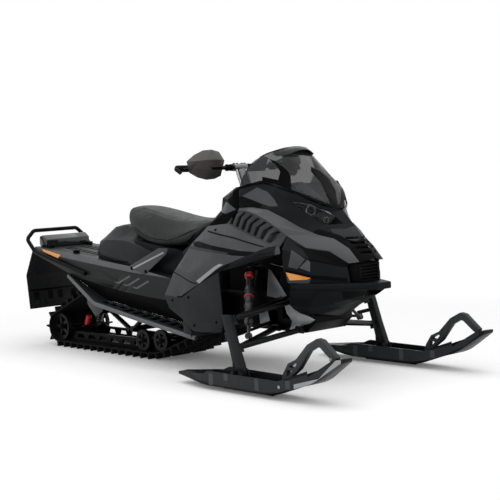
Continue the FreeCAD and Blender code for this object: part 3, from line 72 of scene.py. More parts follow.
# Materials

def add_node(tree, kind, values=(), links=()):
    """A new shader node with constants (socket, value) and links (socket, source)."""
    made = tree.nodes.new("ShaderNode" + kind)
    for socket, value in values:
        made.inputs[socket].default_value = value
    for socket, source in links:
        tree.links.new(source, made.inputs[socket])
    return made


def shader(name, colour, rough=0.5, metallic=0.0, specular=0.5, coat=0.0, alpha=1.0):
    """A principled material whose constants sit on its own sockets."""
    made = bpy.data.materials.new(name)
    made.use_nodes = True
    skin = made.node_tree.nodes["Principled BSDF"]
    for socket, value in (("Base Color", (*colour, 1)), ("Roughness", rough), ("Metallic", metallic),
                          ("Specular IOR Level", specular), ("Coat Weight", coat), ("IOR", IOR), ("Alpha", alpha)):
        skin.inputs[socket].default_value = value
    return made, skin


def place(made):
    return made.node_tree.nodes.new("ShaderNodeTexCoord").outputs["Object"]


def noise(made, scale, detail=3.0, roughness=0.55, stretch=None):
    """Noise fixed to the object; stretch squeezes it along the axes."""
    source = place(made)
    if stretch:
        source = add_node(made.node_tree, "Mapping", [("Scale", stretch)], [("Vector", source)]).outputs["Vector"]
    return add_node(made.node_tree, "TexNoise", [("Scale", scale), ("Detail", detail), ("Roughness", roughness)],
                    [("Vector", source)]).outputs["Fac"]


def spread(made, factor, low, high, start=0.3, end=0.7):
    """Maps a factor to a range of values."""
    ends = [("From Min", start), ("From Max", end), ("To Min", low), ("To Max", high)]
    return add_node(made.node_tree, "MapRange", ends, [("Value", factor)]).outputs["Result"]


def tint(made, skin, factor, colour, vary):
    """Colour that wanders between a darker and a lighter shade."""
    ramp = add_node(made.node_tree, "ValToRGB", (), [("Fac", factor)])
    for element, position, share in zip(ramp.color_ramp.elements, (0.3, 0.7), (1 - vary, 1 + vary)):
        element.position = position
        element.color = (*[c * share for c in colour], 1)
    made.node_tree.links.new(ramp.outputs["Color"], skin.inputs["Base Color"])


def bump(made, skin, factor, strength, distance):
    relief = add_node(made.node_tree, "Bump", [("Strength", strength), ("Distance", distance)], [("Height", factor)])
    made.node_tree.links.new(relief.outputs["Normal"], skin.inputs["Normal"])


def roughen(made, skin, factor, low, high):
    made.node_tree.links.new(spread(made, factor, low, high), skin.inputs["Roughness"])


def plastic(name, colour, rough=0.42, grain=900, vary=0.12, specular=0.45, coat=0.0):
    """Moulded plastic: fine leather-like grain with dull and polished areas."""
    made, skin = shader(name, colour, rough, specular=specular, coat=coat)
    tint(made, skin, noise(made, 7, 4), colour, vary)
    roughen(made, skin, noise(made, 22, 5), rough - 0.07, rough + 0.09)
    bump(made, skin, noise(made, grain, 2), 0.35, 0.00012)
    return made


def metal(name, colour, rough=0.35, stretch=(1, 1, 1), metallic=1.0, specular=0.5):
    """Bare or coated metal with cast or brushed marks."""
    made, skin = shader(name, colour, rough, metallic, specular)
    grain = noise(made, 320, 4, 0.6, stretch)
    tint(made, skin, noise(made, 16, 4), colour, 0.1)
    roughen(made, skin, grain, rough - 0.08, rough + 0.12)
    bump(made, skin, grain, 0.25, 0.0002)
    return made


def rubber(name, colour, rough=0.68):
    """Moulded rubber, a little dusty."""
    made, skin = shader(name, colour, rough, specular=0.12)
    tint(made, skin, noise(made, 30, 6, 0.65), colour, 0.35)
    bump(made, skin, noise(made, 500, 4), 0.4, 0.0004)
    return made


def vinyl(name, colour):
    """Seat vinyl: pebble grain under a soft sheen."""
    made, skin = shader(name, colour, 0.5, specular=0.2)
    skin.inputs["Sheen Weight"].default_value = 0.03
    cells = add_node(made.node_tree, "TexVoronoi", [("Scale", 420)], [("Vector", place(made))])
    cells.feature = "DISTANCE_TO_EDGE"
    tint(made, skin, noise(made, 9, 4), colour, 0.16)
    roughen(made, skin, noise(made, 30, 4), 0.42, 0.58)
    bump(made, skin, cells.outputs["Distance"], 0.5, 0.0006)
    return made


def clear(name, colour, alpha):
    """Thin tinted sheet: alpha is the share that each of its two faces holds back."""
    made, skin = shader(name, colour, 0.09, specular=0.2, alpha=alpha)
    tint(made, skin, noise(made, 5, 3), colour, 0.08)
    return made


def lens(name, colour):
    """Prismatic lens: rows of small ridges under a gloss."""
    made, skin = shader(name, colour, 0.16, specular=0.6, coat=0.6)
    wave = add_node(made.node_tree, "TexWave", [("Scale", 90)], [("Vector", place(made))]).outputs["Fac"]
    tint(made, skin, wave, colour, 0.2)
    bump(made, skin, wave, 0.5, 0.0006)
    return made


CHARCOAL = plastic("charcoal", (0.0058, 0.0068, 0.0076), 0.40, specular=0.09)
CONSOLE = plastic("console_black", (0.0013, 0.0014, 0.0016), 0.5, specular=0.02)
FLANK = plastic("flank_charcoal", (0.036, 0.040, 0.042), 0.44, specular=0.22)
FLANK_LOW = plastic("flank_lower", (0.0125, 0.0142, 0.0152), 0.42, specular=0.12)
# grey of the knee panels, also painted on nose facets as painted light
GREY_PANEL_AND_LIT_FACET = plastic("grey_panel_and_lit_facet", (0.048, 0.052, 0.055), 0.42, specular=0.18)
NOSE = plastic("nose_charcoal", (0.0055, 0.0066, 0.0076), 0.42, specular=0.09)
BELLY = plastic("belly_charcoal", (0.0048, 0.0060, 0.0068), 0.40, specular=0.08)
STRIPE = plastic("stripe_grey", (0.066, 0.071, 0.074), 0.38, vary=0.05, specular=0.25)
MATT_BLACK = plastic("matt_black", (0.0014, 0.0015, 0.0017), 0.5, specular=0.05)
LOUVRE = plastic("louvre_black", (0.026, 0.028, 0.029), 0.42, specular=0.18)
GUARD = plastic("guard_brown", (0.038, 0.034, 0.032), 0.34, coat=0.05, specular=0.2)
# painted highlight for edges that catch the light
EDGE_HIGHLIGHT = plastic("edge_highlight", (0.092, 0.097, 0.101), 0.4, specular=0.2)
# painted light on the hand guards: a lit top and a shaded lower part
GUARD_LIT_TOP = plastic("guard_lit_top", (0.090, 0.088, 0.086), 0.36, specular=0.25)
GUARD_SHADED_LOW = plastic("guard_shaded_low", (0.030, 0.026, 0.025), 0.36, specular=0.2)
REAR = plastic("rear_cover_grey", (0.0105, 0.0122, 0.0132), 0.42, specular=0.12)
BRACKET = plastic("bracket_grey", (0.050, 0.053, 0.055), 0.4, specular=0.2)
NOSE_TOP = plastic("nose_top", (0.022, 0.0245, 0.026), 0.4, specular=0.12)
GREY = plastic("loop_grey", (0.034, 0.037, 0.040), 0.45, specular=0.18)
SKI = plastic("ski_black", (0.0052, 0.0056, 0.0062), 0.34, 300, specular=0.10)
# painted light on the black ski plastic: lit sides, highlights on the ribs and a pale highlight on the tip
SKI_LIT_SIDE = plastic("ski_lit_side", (0.0200, 0.0215, 0.0230), 0.36, 300, specular=0.14)
SKI_RIB_HIGHLIGHT = plastic("ski_rib_highlight", (0.050, 0.053, 0.056), 0.36, 300, specular=0.16)
SKI_TIP_HIGHLIGHT = plastic("ski_tip_highlight", (0.30, 0.305, 0.31), 0.4, 300, vary=0.08)
PALE = plastic("pale_strip", (0.26, 0.27, 0.275), 0.35, vary=0.05)
NYLON = plastic("wheel_nylon", (0.0036, 0.0038, 0.0041), 0.38, specular=0.14)
BLACK_METAL = metal("black_coat", (0.0014, 0.0015, 0.0017), 0.34, metallic=0.0, specular=0.07)
BLACK_SHEET = metal("black_sheet", (0.0068, 0.0076, 0.0082), 0.4, (1, 6, 6), metallic=0.0, specular=0.2)
FORGED = metal("forged_grey", (0.0095, 0.0105, 0.0115), 0.42, metallic=0.0, specular=0.16)
ALLOY = metal("cast_alloy", (0.34, 0.35, 0.36), 0.4)
DULL_ALLOY = metal("dull_alloy", (0.16, 0.165, 0.17), 0.45)
STEEL = metal("turned_steel", (0.40, 0.40, 0.41), 0.26, (1, 14, 1))
ARM = metal("arm_paint", (0.0020, 0.0022, 0.0025), 0.26, metallic=0.0, specular=0.13)
SPRING = metal("spring_paint", (0.020, 0.020, 0.021), 0.32, metallic=0.1)
RED = metal("red_caps", (0.50, 0.030, 0.034), 0.3, metallic=0.2)
TRACK = rubber("track_rubber", (0.0030, 0.0031, 0.0034))
FLAP = rubber("flap_rubber", (0.0075, 0.0080, 0.0090), 0.5)
GRIP = rubber("grip_rubber", (0.004, 0.004, 0.0044), 0.65)
SEAT = vinyl("seat_vinyl", (0.0155, 0.0178, 0.0175))
SCREEN = clear("smoked_screen", (0.012, 0.013, 0.014), 0.66)
SCREEN_DARK = plastic("screen_print", (0.0012, 0.0013, 0.0017), 0.14, specular=0.02)
# grey of the screen lip, also painted on the screen as shade and reflection
SCREEN_SHADE = plastic("screen_shade", (0.016, 0.0175, 0.019), 0.16, coat=0.05, specular=0.12)
TAIL_HOUSING = plastic("tail_housing", (0.012, 0.013, 0.0145), 0.14, coat=0.35, specular=0.4)
LAMP = clear("lamp_lens", (0.02, 0.021, 0.022), 0.30)
TAIL = lens("tail_lens", (0.20, 0.010, 0.012))
AMBER = lens("amber_lens", (0.85, 0.30, 0.03))
IRON = metal("engine_iron", (0.0030, 0.0030, 0.0032), 0.6, metallic=0.0, specular=0.05)

FINISH = {
    "body_plastic": CHARCOAL, "side_plastic": FLANK, "stripe_plastic": STRIPE, "vent_plastic": LOUVRE,
    "screen": SCREEN, "guard_plastic": GUARD, "seat_vinyl": SEAT, "tank_plastic": CHARCOAL,
    "black_metal": BLACK_METAL, "black_alloy": BLACK_SHEET, "bare_alloy": ALLOY, "steel": STEEL,
    "arm_paint": ARM, "spring": SPRING, "track_rubber": TRACK, "flap_rubber": FLAP, "grip_rubber": GRIP,
    "wheel_plastic": NYLON, "ski_plastic": SKI, "loop_plastic": GREY, "lamp_lens": LAMP, "tail_lens": TAIL,
    "amber": AMBER, "iron": IRON,
}

OWN_FINISH = {
    "console": CONSOLE, "side_panels_lower": FLANK_LOW, "nose_sides": NOSE, "belly_pan": BELLY,
    "front_bumper": BELLY, "nose_grille": MATT_BLACK, "bulkhead": BLACK_METAL, "frame_brackets": BRACKET,
    "spindle_right": FORGED, "spindle_left": FORGED, "rear_cover": REAR, "fuel_tank": REAR,
    "slide_rails": BLACK_METAL, "seat_base": BELLY, "riser": DULL_ALLOY, "taillight": MATT_BLACK,
    "cargo_anchors": BLACK_METAL,
}


def finish_of(node):
    return OWN_FINISH.get(node, FINISH[SLOT_OF[node]])


for name, node in NODES.items():
    node.data.materials.clear()
    node.data.materials.append(finish_of(name))


# Pieces

def linked(name, content):
    """A new object in the scene."""
    made = bpy.data.objects.new(name, content)
    bpy.context.scene.collection.objects.link(made)
    return made


def from_bmesh(bm, name):
    mesh = bpy.data.meshes.new(name)
    bmesh.ops.recalc_face_normals(bm, faces=bm.faces)
    bm.to_mesh(mesh)
    bm.free()
    return mesh


def piece(name, shape, material, body="frame", sharp=None):
    """An object from a mesh or bmesh that rides a body; edges over the angle sharp (degrees) stay crisp."""
    made = linked(name, from_bmesh(shape, name) if isinstance(shape, bmesh.types.BMesh) else shape)
    made.data.materials.append(material)
    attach(made, body)
    if sharp:
        smooth(made, sharp)
    return made


def smooth(made, angle):
    for polygon in made.data.polygons:
        polygon.use_smooth = True
    made.data.set_sharp_from_angle(angle=math.radians(angle))


def modify(made, kind, **settings):
    """Adds a modifier."""
    added = made.modifiers.new(kind.lower(), kind)
    for setting, value in settings.items():
        setattr(added, setting, value)
    return added


def evaluated(made):
    """The mesh of an object with its modifiers applied."""
    bpy.context.view_layer.update()
    graph = bpy.context.evaluated_depsgraph_get()
    return bpy.data.meshes.new_from_object(made.evaluated_get(graph))


def bake(made, angle=None):
    """Applies the modifiers of a piece, then shades it smooth up to an angle."""
    mesh = evaluated(made)
    made.modifiers.clear()
    made.data = mesh
    if angle:
        smooth(made, angle)


WELD = 0.00002
FLAT_ANGLE, ROUND_ANGLE, CRISP_ANGLE = 1.2, 28, 35


def softened(node, bevel):
    """A copy of a CAD node with rounded edges, which stands for it."""
    bm = bmesh.new()
    bm.from_mesh(NODES[node].data)
    bmesh.ops.remove_doubles(bm, verts=bm.verts, dist=WELD)
    bmesh.ops.dissolve_limit(bm, angle_limit=math.radians(FLAT_ANGLE), verts=bm.verts, edges=bm.edges)
    made = piece(node + "_soft", bm, finish_of(node), BODY_OF[node])
    modify(made, "BEVEL", width=bevel, segments=2, limit_method="ANGLE", angle_limit=math.radians(ROUND_ANGLE))
    bake(made, CRISP_ANGLE)
    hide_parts(node)
    return made


TREES = {}


def surface(name, mesh):
    """The search tree of a mesh, made once and kept under a name."""
    if name not in TREES:
        bm = bmesh.new()
        bm.from_mesh(mesh)
        TREES[name] = BVHTree.FromBMesh(bm)
        bm.free()
    return TREES[name]


def cast(node, start, direction):
    """Point and outward normal where a ray meets a CAD node, or passes close by its edge."""
    tree = surface(node, NODES[node].data)
    start, direction = Vector(start), Vector(direction).normalized()
    spot, normal, _, _ = tree.ray_cast(start, direction)
    if spot is None:
        step, steps, near = 0.01, 200, 0.02
        tries = [tree.find_nearest(start + direction * index * step) for index in range(steps)]
        spot, normal, _, distance = min(tries, key=lambda found: found[3])
        if distance > near:
            raise ValueError(f"the ray from {start} misses {node}")
    if normal.dot(direction) > 0:
        normal = -normal
    return spot, normal


def side_spots(tree, points, sign, away):
    """Where rays from one side meet a surface at points (x, z); those that miss are left out."""
    spots = [tree.ray_cast(Vector((x, sign * away, z)), Vector((0, -sign, 0)))[0] for x, z in points]
    return [spot for spot in spots if spot is not None]


def both(made):
    """Puts the same piece on the left side of the machine too."""
    mesh = made.data.copy()
    mesh.transform(Matrix.Scale(-1, 4, (0, 1, 0)))
    mesh.flip_normals()
    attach(linked(made.name + "_left", mesh), made["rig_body"])


def tube(name, points, radius, material, body="frame", curved=True):
    """Round bar along points."""
    line = bpy.data.curves.new(name, "CURVE")
    line.dimensions = "3D"
    line.bevel_depth = radius
    line.bevel_resolution = 2
    line.use_fill_caps = True
    spline = line.splines.new("NURBS" if curved else "POLY")
    spline.points.add(len(points) - 1)
    for control, point in zip(spline.points, points):
        control.co = (*point, 1)
    if curved:
        spline.order_u = min(4, len(points))
        spline.use_endpoint_u = True
        spline.resolution_u = 6
    holder = linked(name + "_line", line)
    mesh = evaluated(holder)
    bpy.data.objects.remove(holder)
    return piece(name, mesh, material, body, sharp=50)


def bridged(bm, loops, closed=True):
    """Faces between neighbouring loops of vertices."""
    for first, second in zip(loops, loops[1:]):
        for k in range(len(first) if closed else len(first) - 1):
            after = (k + 1) % len(first)
            bm.faces.new((first[k], first[after], second[after], second[k]))


def capped(bm, loops):
    """Closed skin over loops of vertices."""
    bridged(bm, loops)
    bm.faces.new(list(reversed(loops[0])))
    bm.faces.new(loops[-1])


def circle(bm, radius, level, count):
    angles = [2 * math.pi * k / count for k in range(count)]
    return [bm.verts.new((radius * math.cos(angle), radius * math.sin(angle), level)) for angle in angles]


def set_on(bm, centre, axis):
    """Turns what was built along z to an axis and moves it to its place."""
    turn = Vector((0, 0, 1)).rotation_difference(Vector(axis)).to_matrix().to_4x4()
    bm.transform(Matrix.Translation(Vector(centre)) @ turn)


def lathe(name, profile, centre, axis, material, body="frame", count=32):
    """Turned piece: profile is (distance along the axis, radius)."""
    bm = bmesh.new()
    capped(bm, [circle(bm, radius, along, count) for along, radius in profile])
    set_on(bm, centre, axis)
    return piece(name, bm, material, body, sharp=30)


def bolt(name, centre, axis, radius, body="frame", material=MATT_BLACK, height=None):
    """Hexagon head with a chamfer on a round flange."""
    height = height or radius * 0.7
    flange, flange_high, chamfer = radius * 1.35, height * 0.25, 0.86
    bm = bmesh.new()
    for count, size, low, high in ((24, flange, 0, flange_high), (6, radius, flange_high, height)):
        levels = ((low, 1), (high * 0.85 + low * 0.15, 1), (high, chamfer))
        capped(bm, [circle(bm, size * share, level, count) for level, share in levels])
    set_on(bm, centre, Vector(axis).normalized())
    return piece(name, bm, material, body, sharp=30)


FACING = -0.08
CUT_REACH, CUT_LEAST = 1e-6, 1e-9


def inside(u, w, outline):
    """Whether a point is inside an outline of (u, w)."""
    odd = False
    for (u0, w0), (u1, w1) in zip(outline, outline[1:] + outline[:1]):
        if (w0 > w) != (w1 > w) and u < (u1 - u0) * (w - w0) / (w1 - w0) + u0:
            odd = not odd
    return odd


def paint(name, points, material, view, reach, sides=(1, -1)):
    """Another material on the faces of a piece that show inside an outline.

    The points are (x, y, z) in mm on the right side, seen along view, and are mirrored for side -1.
    Faces deeper or nearer than the points by more than reach stay as they are."""
    made = bpy.data.objects.get(name + "_soft") or bpy.data.objects[name]
    names = [slot.name for slot in made.data.materials]
    if material.name not in names:
        made.data.materials.append(material)
        names.append(material.name)
    bm = bmesh.new()
    bm.from_mesh(made.data)
    for side in sides:
        along = Vector((view[0], view[1] * side, view[2])).normalized()
        across = along.cross(Vector((0, 0, 1) if abs(along.z) < 0.9 else (1, 0, 0))).normalized()
        up = across.cross(along)
        spots = [Vector((x, y * side, z)) / MM for x, y, z in points]
        outline = [(spot.dot(across), spot.dot(up)) for spot in spots]
        low, high = [(pick(u for u, w in outline), pick(w for u, w in outline)) for pick in (min, max)]
        nearest = min(spot.dot(along) for spot in spots) - reach
        farthest = max(spot.dot(along) for spot in spots) + reach

        def seen(face):
            if face.normal.dot(along) > FACING:
                return False
            us = [vert.co.dot(across) for vert in face.verts]
            ws = [vert.co.dot(up) for vert in face.verts]
            return (min(us) < high[0] and max(us) > low[0] and min(ws) < high[1] and max(ws) > low[1]
                    and nearest < face.calc_center_median().dot(along) < farthest)

        for first, second in zip(spots, spots[1:] + spots[:1]):
            faces = [face for face in bm.faces if seen(face)]
            edges = {edge for face in faces for edge in face.edges}
            verts = {vert for face in faces for vert in face.verts}
            cut = (second - first).cross(along)
            if cut.length < CUT_LEAST:
                continue
            bmesh.ops.bisect_plane(bm, geom=list(verts) + list(edges) + faces, dist=CUT_REACH,
                                   plane_co=first, plane_no=cut.normalized())
        for face in bm.faces:
            if seen(face):
                middle = face.calc_center_median()
                if inside(middle.dot(across), middle.dot(up), outline):
                    face.material_index = names.index(material.name)
    bm.to_mesh(made.data)
    bm.free()


# Bodywork: each node with the width of its rounded edges, shaded as one moulding

for node, width in (
    ("hood", 0.004), ("hood_stripes", 0.0025), ("side_panels_upper", 0.005), ("side_panels_lower", 0.005),
    ("nose_sides", 0.004), ("console", 0.004), ("belly_pan", 0.006), ("front_bumper", 0.005),
    ("nose_grille", 0.002), ("louvres", 0.003), ("rear_cover", 0.009), ("fuel_tank", 0.006),
    ("seat_base", 0.003), ("hand_guards", 0.002), ("snow_flap", 0.003), ("frame_brackets", 0.0015),
    ("bulkhead", 0.0025), ("tunnel", 0.001), ("running_boards", 0.0008), ("ski_right", 0.004),
    ("ski_left", 0.004), ("ski_loop_right", 0.005), ("ski_loop_left", 0.005), ("spindle_right", 0.003),
    ("spindle_left", 0.003),
):
    softened(node, width)

# Moulded-in blacks and greys, and among them painted shade and painted highlights: piece, material, the way of looking,
# reach, and the outline in mm

SIDEWAYS, CAMERA_WAY, DOWN_BACK, DOWN, BACK = (0, 1, 0), (-0.73, 0.68, -0.07), (-0.6, 0, -0.8), (0, 0, -1), (-1, 0, 0)

for name, material, view, reach, *points in (
    # a dark facet on the hood's front, made black with painted shade under the brow
    ("hood", MATT_BLACK, DOWN_BACK, 0.2, (1018, -150, 770), (1031, -129, 779), (1102, -95, 757), (1172, -71, 724),
     (1216, -46, 724), (1216, 0, 724), (1420, 0, 640), (1420, -190, 600), (1180, -190, 690)),
    ("hood", NOSE_TOP, DOWN_BACK, 0.1, (1081, -94, 777), (1141, -49, 775), (1150, 0, 772), (1214, 0, 727),
     (1214, -46, 726), (1170, -71, 727), (1102, -95, 758)),
    ("hood", GREY_PANEL_AND_LIT_FACET, CAMERA_WAY, 0.05, (633, -274, 955), (736, -262, 997), (796, -249, 975), (836, -241, 936),
     (856, -234, 900), (821, -256, 899), (768, -267, 915)),
    ("hood", MATT_BLACK, CAMERA_WAY, 0.05, (560, -275, 950), (634, -275, 953), (775, -268, 910), (770, -268, 895),
     (640, -300, 870), (540, -290, 870)),
    ("console", GREY_PANEL_AND_LIT_FACET, CAMERA_WAY, 0.05, (425, -240, 872), (484, -253, 926), (597, -287, 886), (514, -290, 862)),
    ("console", NOSE, CAMERA_WAY, 0.05, (420, -221, 949), (470, -180, 990), (545, -263, 953), (495, -255, 937)),
    # painted shade: a dark wedge under the stripe
    ("nose_sides", MATT_BLACK, CAMERA_WAY, 0.05, (960, -243, 716), (1042, -204, 681), (1106, -163, 669),
     (1164, -131, 658), (1260, -112, 630), (1240, -100, 600), (1197, -127, 590), (1145, -157, 603), (1065, -230, 627),
     (1019, -230, 680)),
    ("nose_sides", STRIPE, CAMERA_WAY, 0.05, (1054, -239, 632), (1018, -261, 593), (1062, -230, 572),
     (1065, -230, 622)),
    # painted light: a lit facet of the nose side
    ("nose_sides", GREY_PANEL_AND_LIT_FACET, CAMERA_WAY, 0.05, (986, -281, 683), (1046, -246, 637), (1006, -264, 587), (963, -284, 598)),
    ("nose_sides", MATT_BLACK, CAMERA_WAY, 0.05, (940, -282, 586), (1061, -230, 556), (1132, -175, 548),
     (1215, -127, 537), (1215, -127, 517), (1065, -221, 536), (935, -276, 566)),
    # painted light: a lit facet of the nose side
    ("nose_sides", GREY_PANEL_AND_LIT_FACET, CAMERA_WAY, 0.05, (938, -277, 560), (1060, -222, 535), (1030, -226, 490), (925, -243, 470)),
    ("belly_pan", MATT_BLACK, CAMERA_WAY, 0.15, (1185, -134, 471), (1300, -30, 471), (1300, 0, 441), (1203, -8, 416),
     (1164, -106, 429)),
    ("side_panels_upper", MATT_BLACK, SIDEWAYS, 0.12, (293, -331, 712), (344, -339, 719), (569, -384, 695),
     (726, -388, 680), (860, -376, 676), (773, -391, 654), (674, -397, 656), (537, -391, 670), (313, -342, 691)),
    ("side_panels_upper", NOSE, SIDEWAYS, 0.12, (930, -350, 706), (893, -350, 701), (847, -377, 684), (783, -394, 660),
     (680, -405, 624), (559, -409, 582), (400, -398, 500), (400, -398, 440), (680, -405, 560), (930, -350, 640)),
    ("side_panels_upper", MATT_BLACK, SIDEWAYS, 0.12, (60, -340, 578), (165, -370, 554), (356, -396, 504),
     (387, -395, 500), (387, -395, 496), (356, -396, 497), (165, -370, 547), (60, -340, 571)),
    ("side_panels_upper", MATT_BLACK, SIDEWAYS, 0.12, (200, -384, 422), (238, -385, 424), (663, -409, 619),
     (667, -407, 606), (228, -384, 406), (200, -384, 408)),
    ("side_panels_upper", NOSE_TOP, SIDEWAYS, 0.12, (276, -339, 690), (491, -385, 682), (644, -397, 668),
     (620, -397, 660), (480, -385, 668), (276, -339, 676)),
    # painted highlight along the tunnel's upper edge
    ("tunnel", EDGE_HIGHLIGHT, SIDEWAYS, 0.05, (-1440, -212, 642), (-433, -212, 548), (-60, -212, 520), (-60, -212, 490),
     (-433, -212, 512), (-1440, -212, 608)),
    # painted highlights on the edges of three slots in the tunnel side
    *(("tunnel", EDGE_HIGHLIGHT, SIDEWAYS, 0.05, (-600 + shift, -212, 450 - shift * 0.13),
       (-570 + shift, -212, 439 - shift * 0.13), (-546 + shift, -212, 438 - shift * 0.13),
       (-430 + shift, -212, 486 - shift * 0.13), (-444 + shift, -212, 492 - shift * 0.13),
       (-556 + shift, -212, 447 - shift * 0.13))
      for shift in (0, 88, 176)),
    # painted highlight along the running board's outer edge
    ("running_boards", EDGE_HIGHLIGHT, SIDEWAYS, 0.03, (-1060, -224, 482), (-676, -308, 336), (-190, -344, 274),
     (322, -362, 210), (322, -362, 186), (-190, -344, 250), (-676, -308, 308), (-1060, -224, 448)),
    # painted light: the hand guard's top lighter
    ("hand_guards", GUARD_LIT_TOP, CAMERA_WAY, 0.15, (390, -425, 1158), (424, -340, 1209), (440, -203, 1190),
     (442, -205, 1142), (436, -285, 1150), (420, -365, 1146), (383, -432, 1143)),
    # painted shade: the hand guard's lower part darker
    ("hand_guards", GUARD_SHADED_LOW, CAMERA_WAY, 0.15, (383, -432, 1112), (407, -379, 1105), (436, -298, 1096),
     (438, -205, 1094), (430, -240, 1050), (425, -310, 1030), (410, -375, 1030), (380, -440, 1080)),
    ("hand_guards", MATT_BLACK, CAMERA_WAY, 0.15, (436, -312, 1109), (440, -205, 1110), (438, -205, 1093),
     (436, -295, 1096)),
    ("snow_flap", MATT_BLACK, BACK, 0.1, (-1554, -208, 351), (-1554, 0, 351), (-1556, 0, 338), (-1559, -208, 338)),
    *(("snow_flap", MATT_BLACK, BACK, 0.1, (-1544, low, 334), (-1544, high, 334), (-1549, high, 278),
       (-1544, low, 278))
      for low, high in ((-168, -126), (-57, -19))),
    # painted shade: the lower part of the tunnel side, darkened as if in shadow
    ("tunnel", MATT_BLACK, SIDEWAYS, 0.05, (-1060, -212, 470), (-930, -212, 452), (-700, -212, 420), (-500, -212, 392),
     (-250, -212, 372), (330, -212, 340), (330, -212, 150), (-600, -212, 250), (-1060, -212, 420)),
    ("tunnel", REAR, DOWN, 0.1, (-1345, -150, 645), (-860, -165, 600), (-860, 0, 600), (-1345, 0, 645)),
    ("side_panels_upper", PALE, SIDEWAYS, 0.12, (383, -398, 513), (592, -416, 612), (620, -415, 609),
     (404, -396, 500)),
):
    paint(name, points, material, view, reach)

# painted light on the skis: lighter sides, highlights on the ribs and on the tip
SKI_EDGE = ((560, 68), (640, 86), (720, 98), (1255, 104), (1340, 130), (1459, 172), (1542, 225), (1542, 205),
            (1459, 140), (1340, 85), (1240, 45), (1089, 30), (749, 30), (600, 45))
SKI_RIBS = ((702, 734, 84, 26), (815, 845, 96, 60), (1036, 1064, 97, 34), (1248, 1276, 103, 64))
SKI_NOSE = ((1300, 90), (1450, 130), (1575, 250), (1600, 180), (1500, 60), (1300, 20))
for name, outer in (("ski_right", 1), ("ski_left", -1)):
    for y, side in ((-610, outer), (470, -outer)):
        paint(name, [(x, y, z) for x, z in SKI_EDGE], SKI_LIT_SIDE, SIDEWAYS, 0.05, (side,))
        for low, high, top, foot in SKI_RIBS:
            paint(name, [(low, y, top), (high, y, top), (high, y, foot), (low, y, foot)], SKI_RIB_HIGHLIGHT, SIDEWAYS, 0.05,
                  (side,))
    paint(name, [(x, -610, z) for x, z in SKI_NOSE], SKI_TIP_HIGHLIGHT, SIDEWAYS, 0.2, (outer,))


# Plates behind the front shocks and the grille's vents

def slab_piece(name, points, y, thick, material):
    """Flat plate with rounded edges on each side, outline (x, z) and the outer face's y in mm."""
    bm = bmesh.new()
    outer = bm.faces.new([bm.verts.new((x / MM, y / MM, z / MM)) for x, z in points])
    for item in bmesh.ops.extrude_face_region(bm, geom=[outer])["geom"]:
        if isinstance(item, bmesh.types.BMVert):
            item.co.y += thick / MM
    made = piece(name, bm, material)
    modify(made, "BEVEL", width=min(0.0012, thick / 3 / MM), segments=2)
    bake(made, CRISP_ANGLE)
    both(made)


slab_piece("front_gusset", [(672, 566), (690, 560), (801, 430), (757, 411), (652, 421)], -142, 3.5, DULL_ALLOY)
slab_piece("front_casting", [(776, 391), (814, 405), (838, 368), (891, 345), (948, 334), (1000, 318), (962, 296),
                             (815, 253), (834, 300), (796, 338)], -142, 3.5, ALLOY)
slab_piece("bay_liner", [(560, 590), (560, 705), (790, 705), (850, 640), (850, 600)], -138, 3, MATT_BLACK)
slab_piece("shock_bracket", [(585, 345), (650, 352), (668, 290), (592, 268)], -142, 3.5, DULL_ALLOY)

bm = bmesh.new()
bm.faces.new([bm.verts.new(p) for p in ((1.142, -0.078, 0.722), (1.142, 0.078, 0.722), (1.216, 0.066, 0.640),
                                        (1.216, -0.066, 0.640))])
vent_back = piece("vent_backing", bm, MATT_BLACK)
modify(vent_back, "SOLIDIFY", thickness=0.004)
bake(vent_back)


# Seat: the foam body smoothed, with a sewn seam and piping; each row is x and half an outline (y, z), in mm

SEAT_ROWS = [
    (-562, [(0, 792), (60, 792), (84, 806), (98, 838), (92, 872), (70, 883), (0, 887)]),
    (-548, [(0, 762), (88, 764), (118, 790), (124, 838), (108, 876), (84, 888), (0, 893)]),
    (-470, [(0, 716), (112, 720), (142, 756), (145, 812), (118, 860), (96, 882), (0, 892)]),
    (-380, [(0, 682), (126, 690), (155, 734), (154, 788), (128, 842), (108, 868), (0, 882)]),
    (-270, [(0, 668), (142, 676), (170, 716), (158, 766), (136, 818), (118, 846), (0, 864)]),
    (-150, [(0, 660), (154, 668), (181, 708), (160, 748), (138, 796), (122, 820), (0, 842)]),
    (-20, [(0, 668), (160, 682), (183, 724), (160, 756), (134, 790), (116, 804), (0, 824)]),
    (90, [(0, 705), (158, 725), (172, 760), (152, 782), (126, 798), (106, 808), (0, 822)]),
    (180, [(0, 752), (136, 776), (148, 794), (130, 806), (110, 814), (90, 819), (0, 827)]),
    (235, [(0, 790), (108, 806), (116, 815), (104, 822), (90, 826), (70, 830), (0, 834)]),
]


def seat_shell():
    """The foam body: rings of a half outline, mirrored and subdivided, with a crisp edge along the top."""
    bm = bmesh.new()
    crease = bm.edges.layers.float.new("crease_edge")
    rings = []
    for x, half in SEAT_ROWS:
        full = half + [(-y, z) for y, z in reversed(half[1:-1])]
        rings.append([bm.verts.new((x / MM, y / MM, z / MM)) for y, z in full])
    capped(bm, rings)
    count = len(rings[0])
    top, foot = 5, 1
    for first, second in zip(rings, rings[1:]):
        for k, amount in ((top, 0.55), (count - top, 0.55), (foot, 0.75), (count - foot, 0.75)):
            bm.edges.get((first[k], second[k]))[crease] = amount
    rear, front = (rings[0], 0.3), (rings[-1], 0.8)
    for ring, amount in (rear, front):
        for k in range(count):
            bm.edges.get((ring[k], ring[(k + 1) % count]))[crease] = amount
    made = piece("seat_foam", bm, SEAT, "frame")
    for step in range(2):
        modify(made, "SUBSURF", levels=2)
    bake(made)
    return made


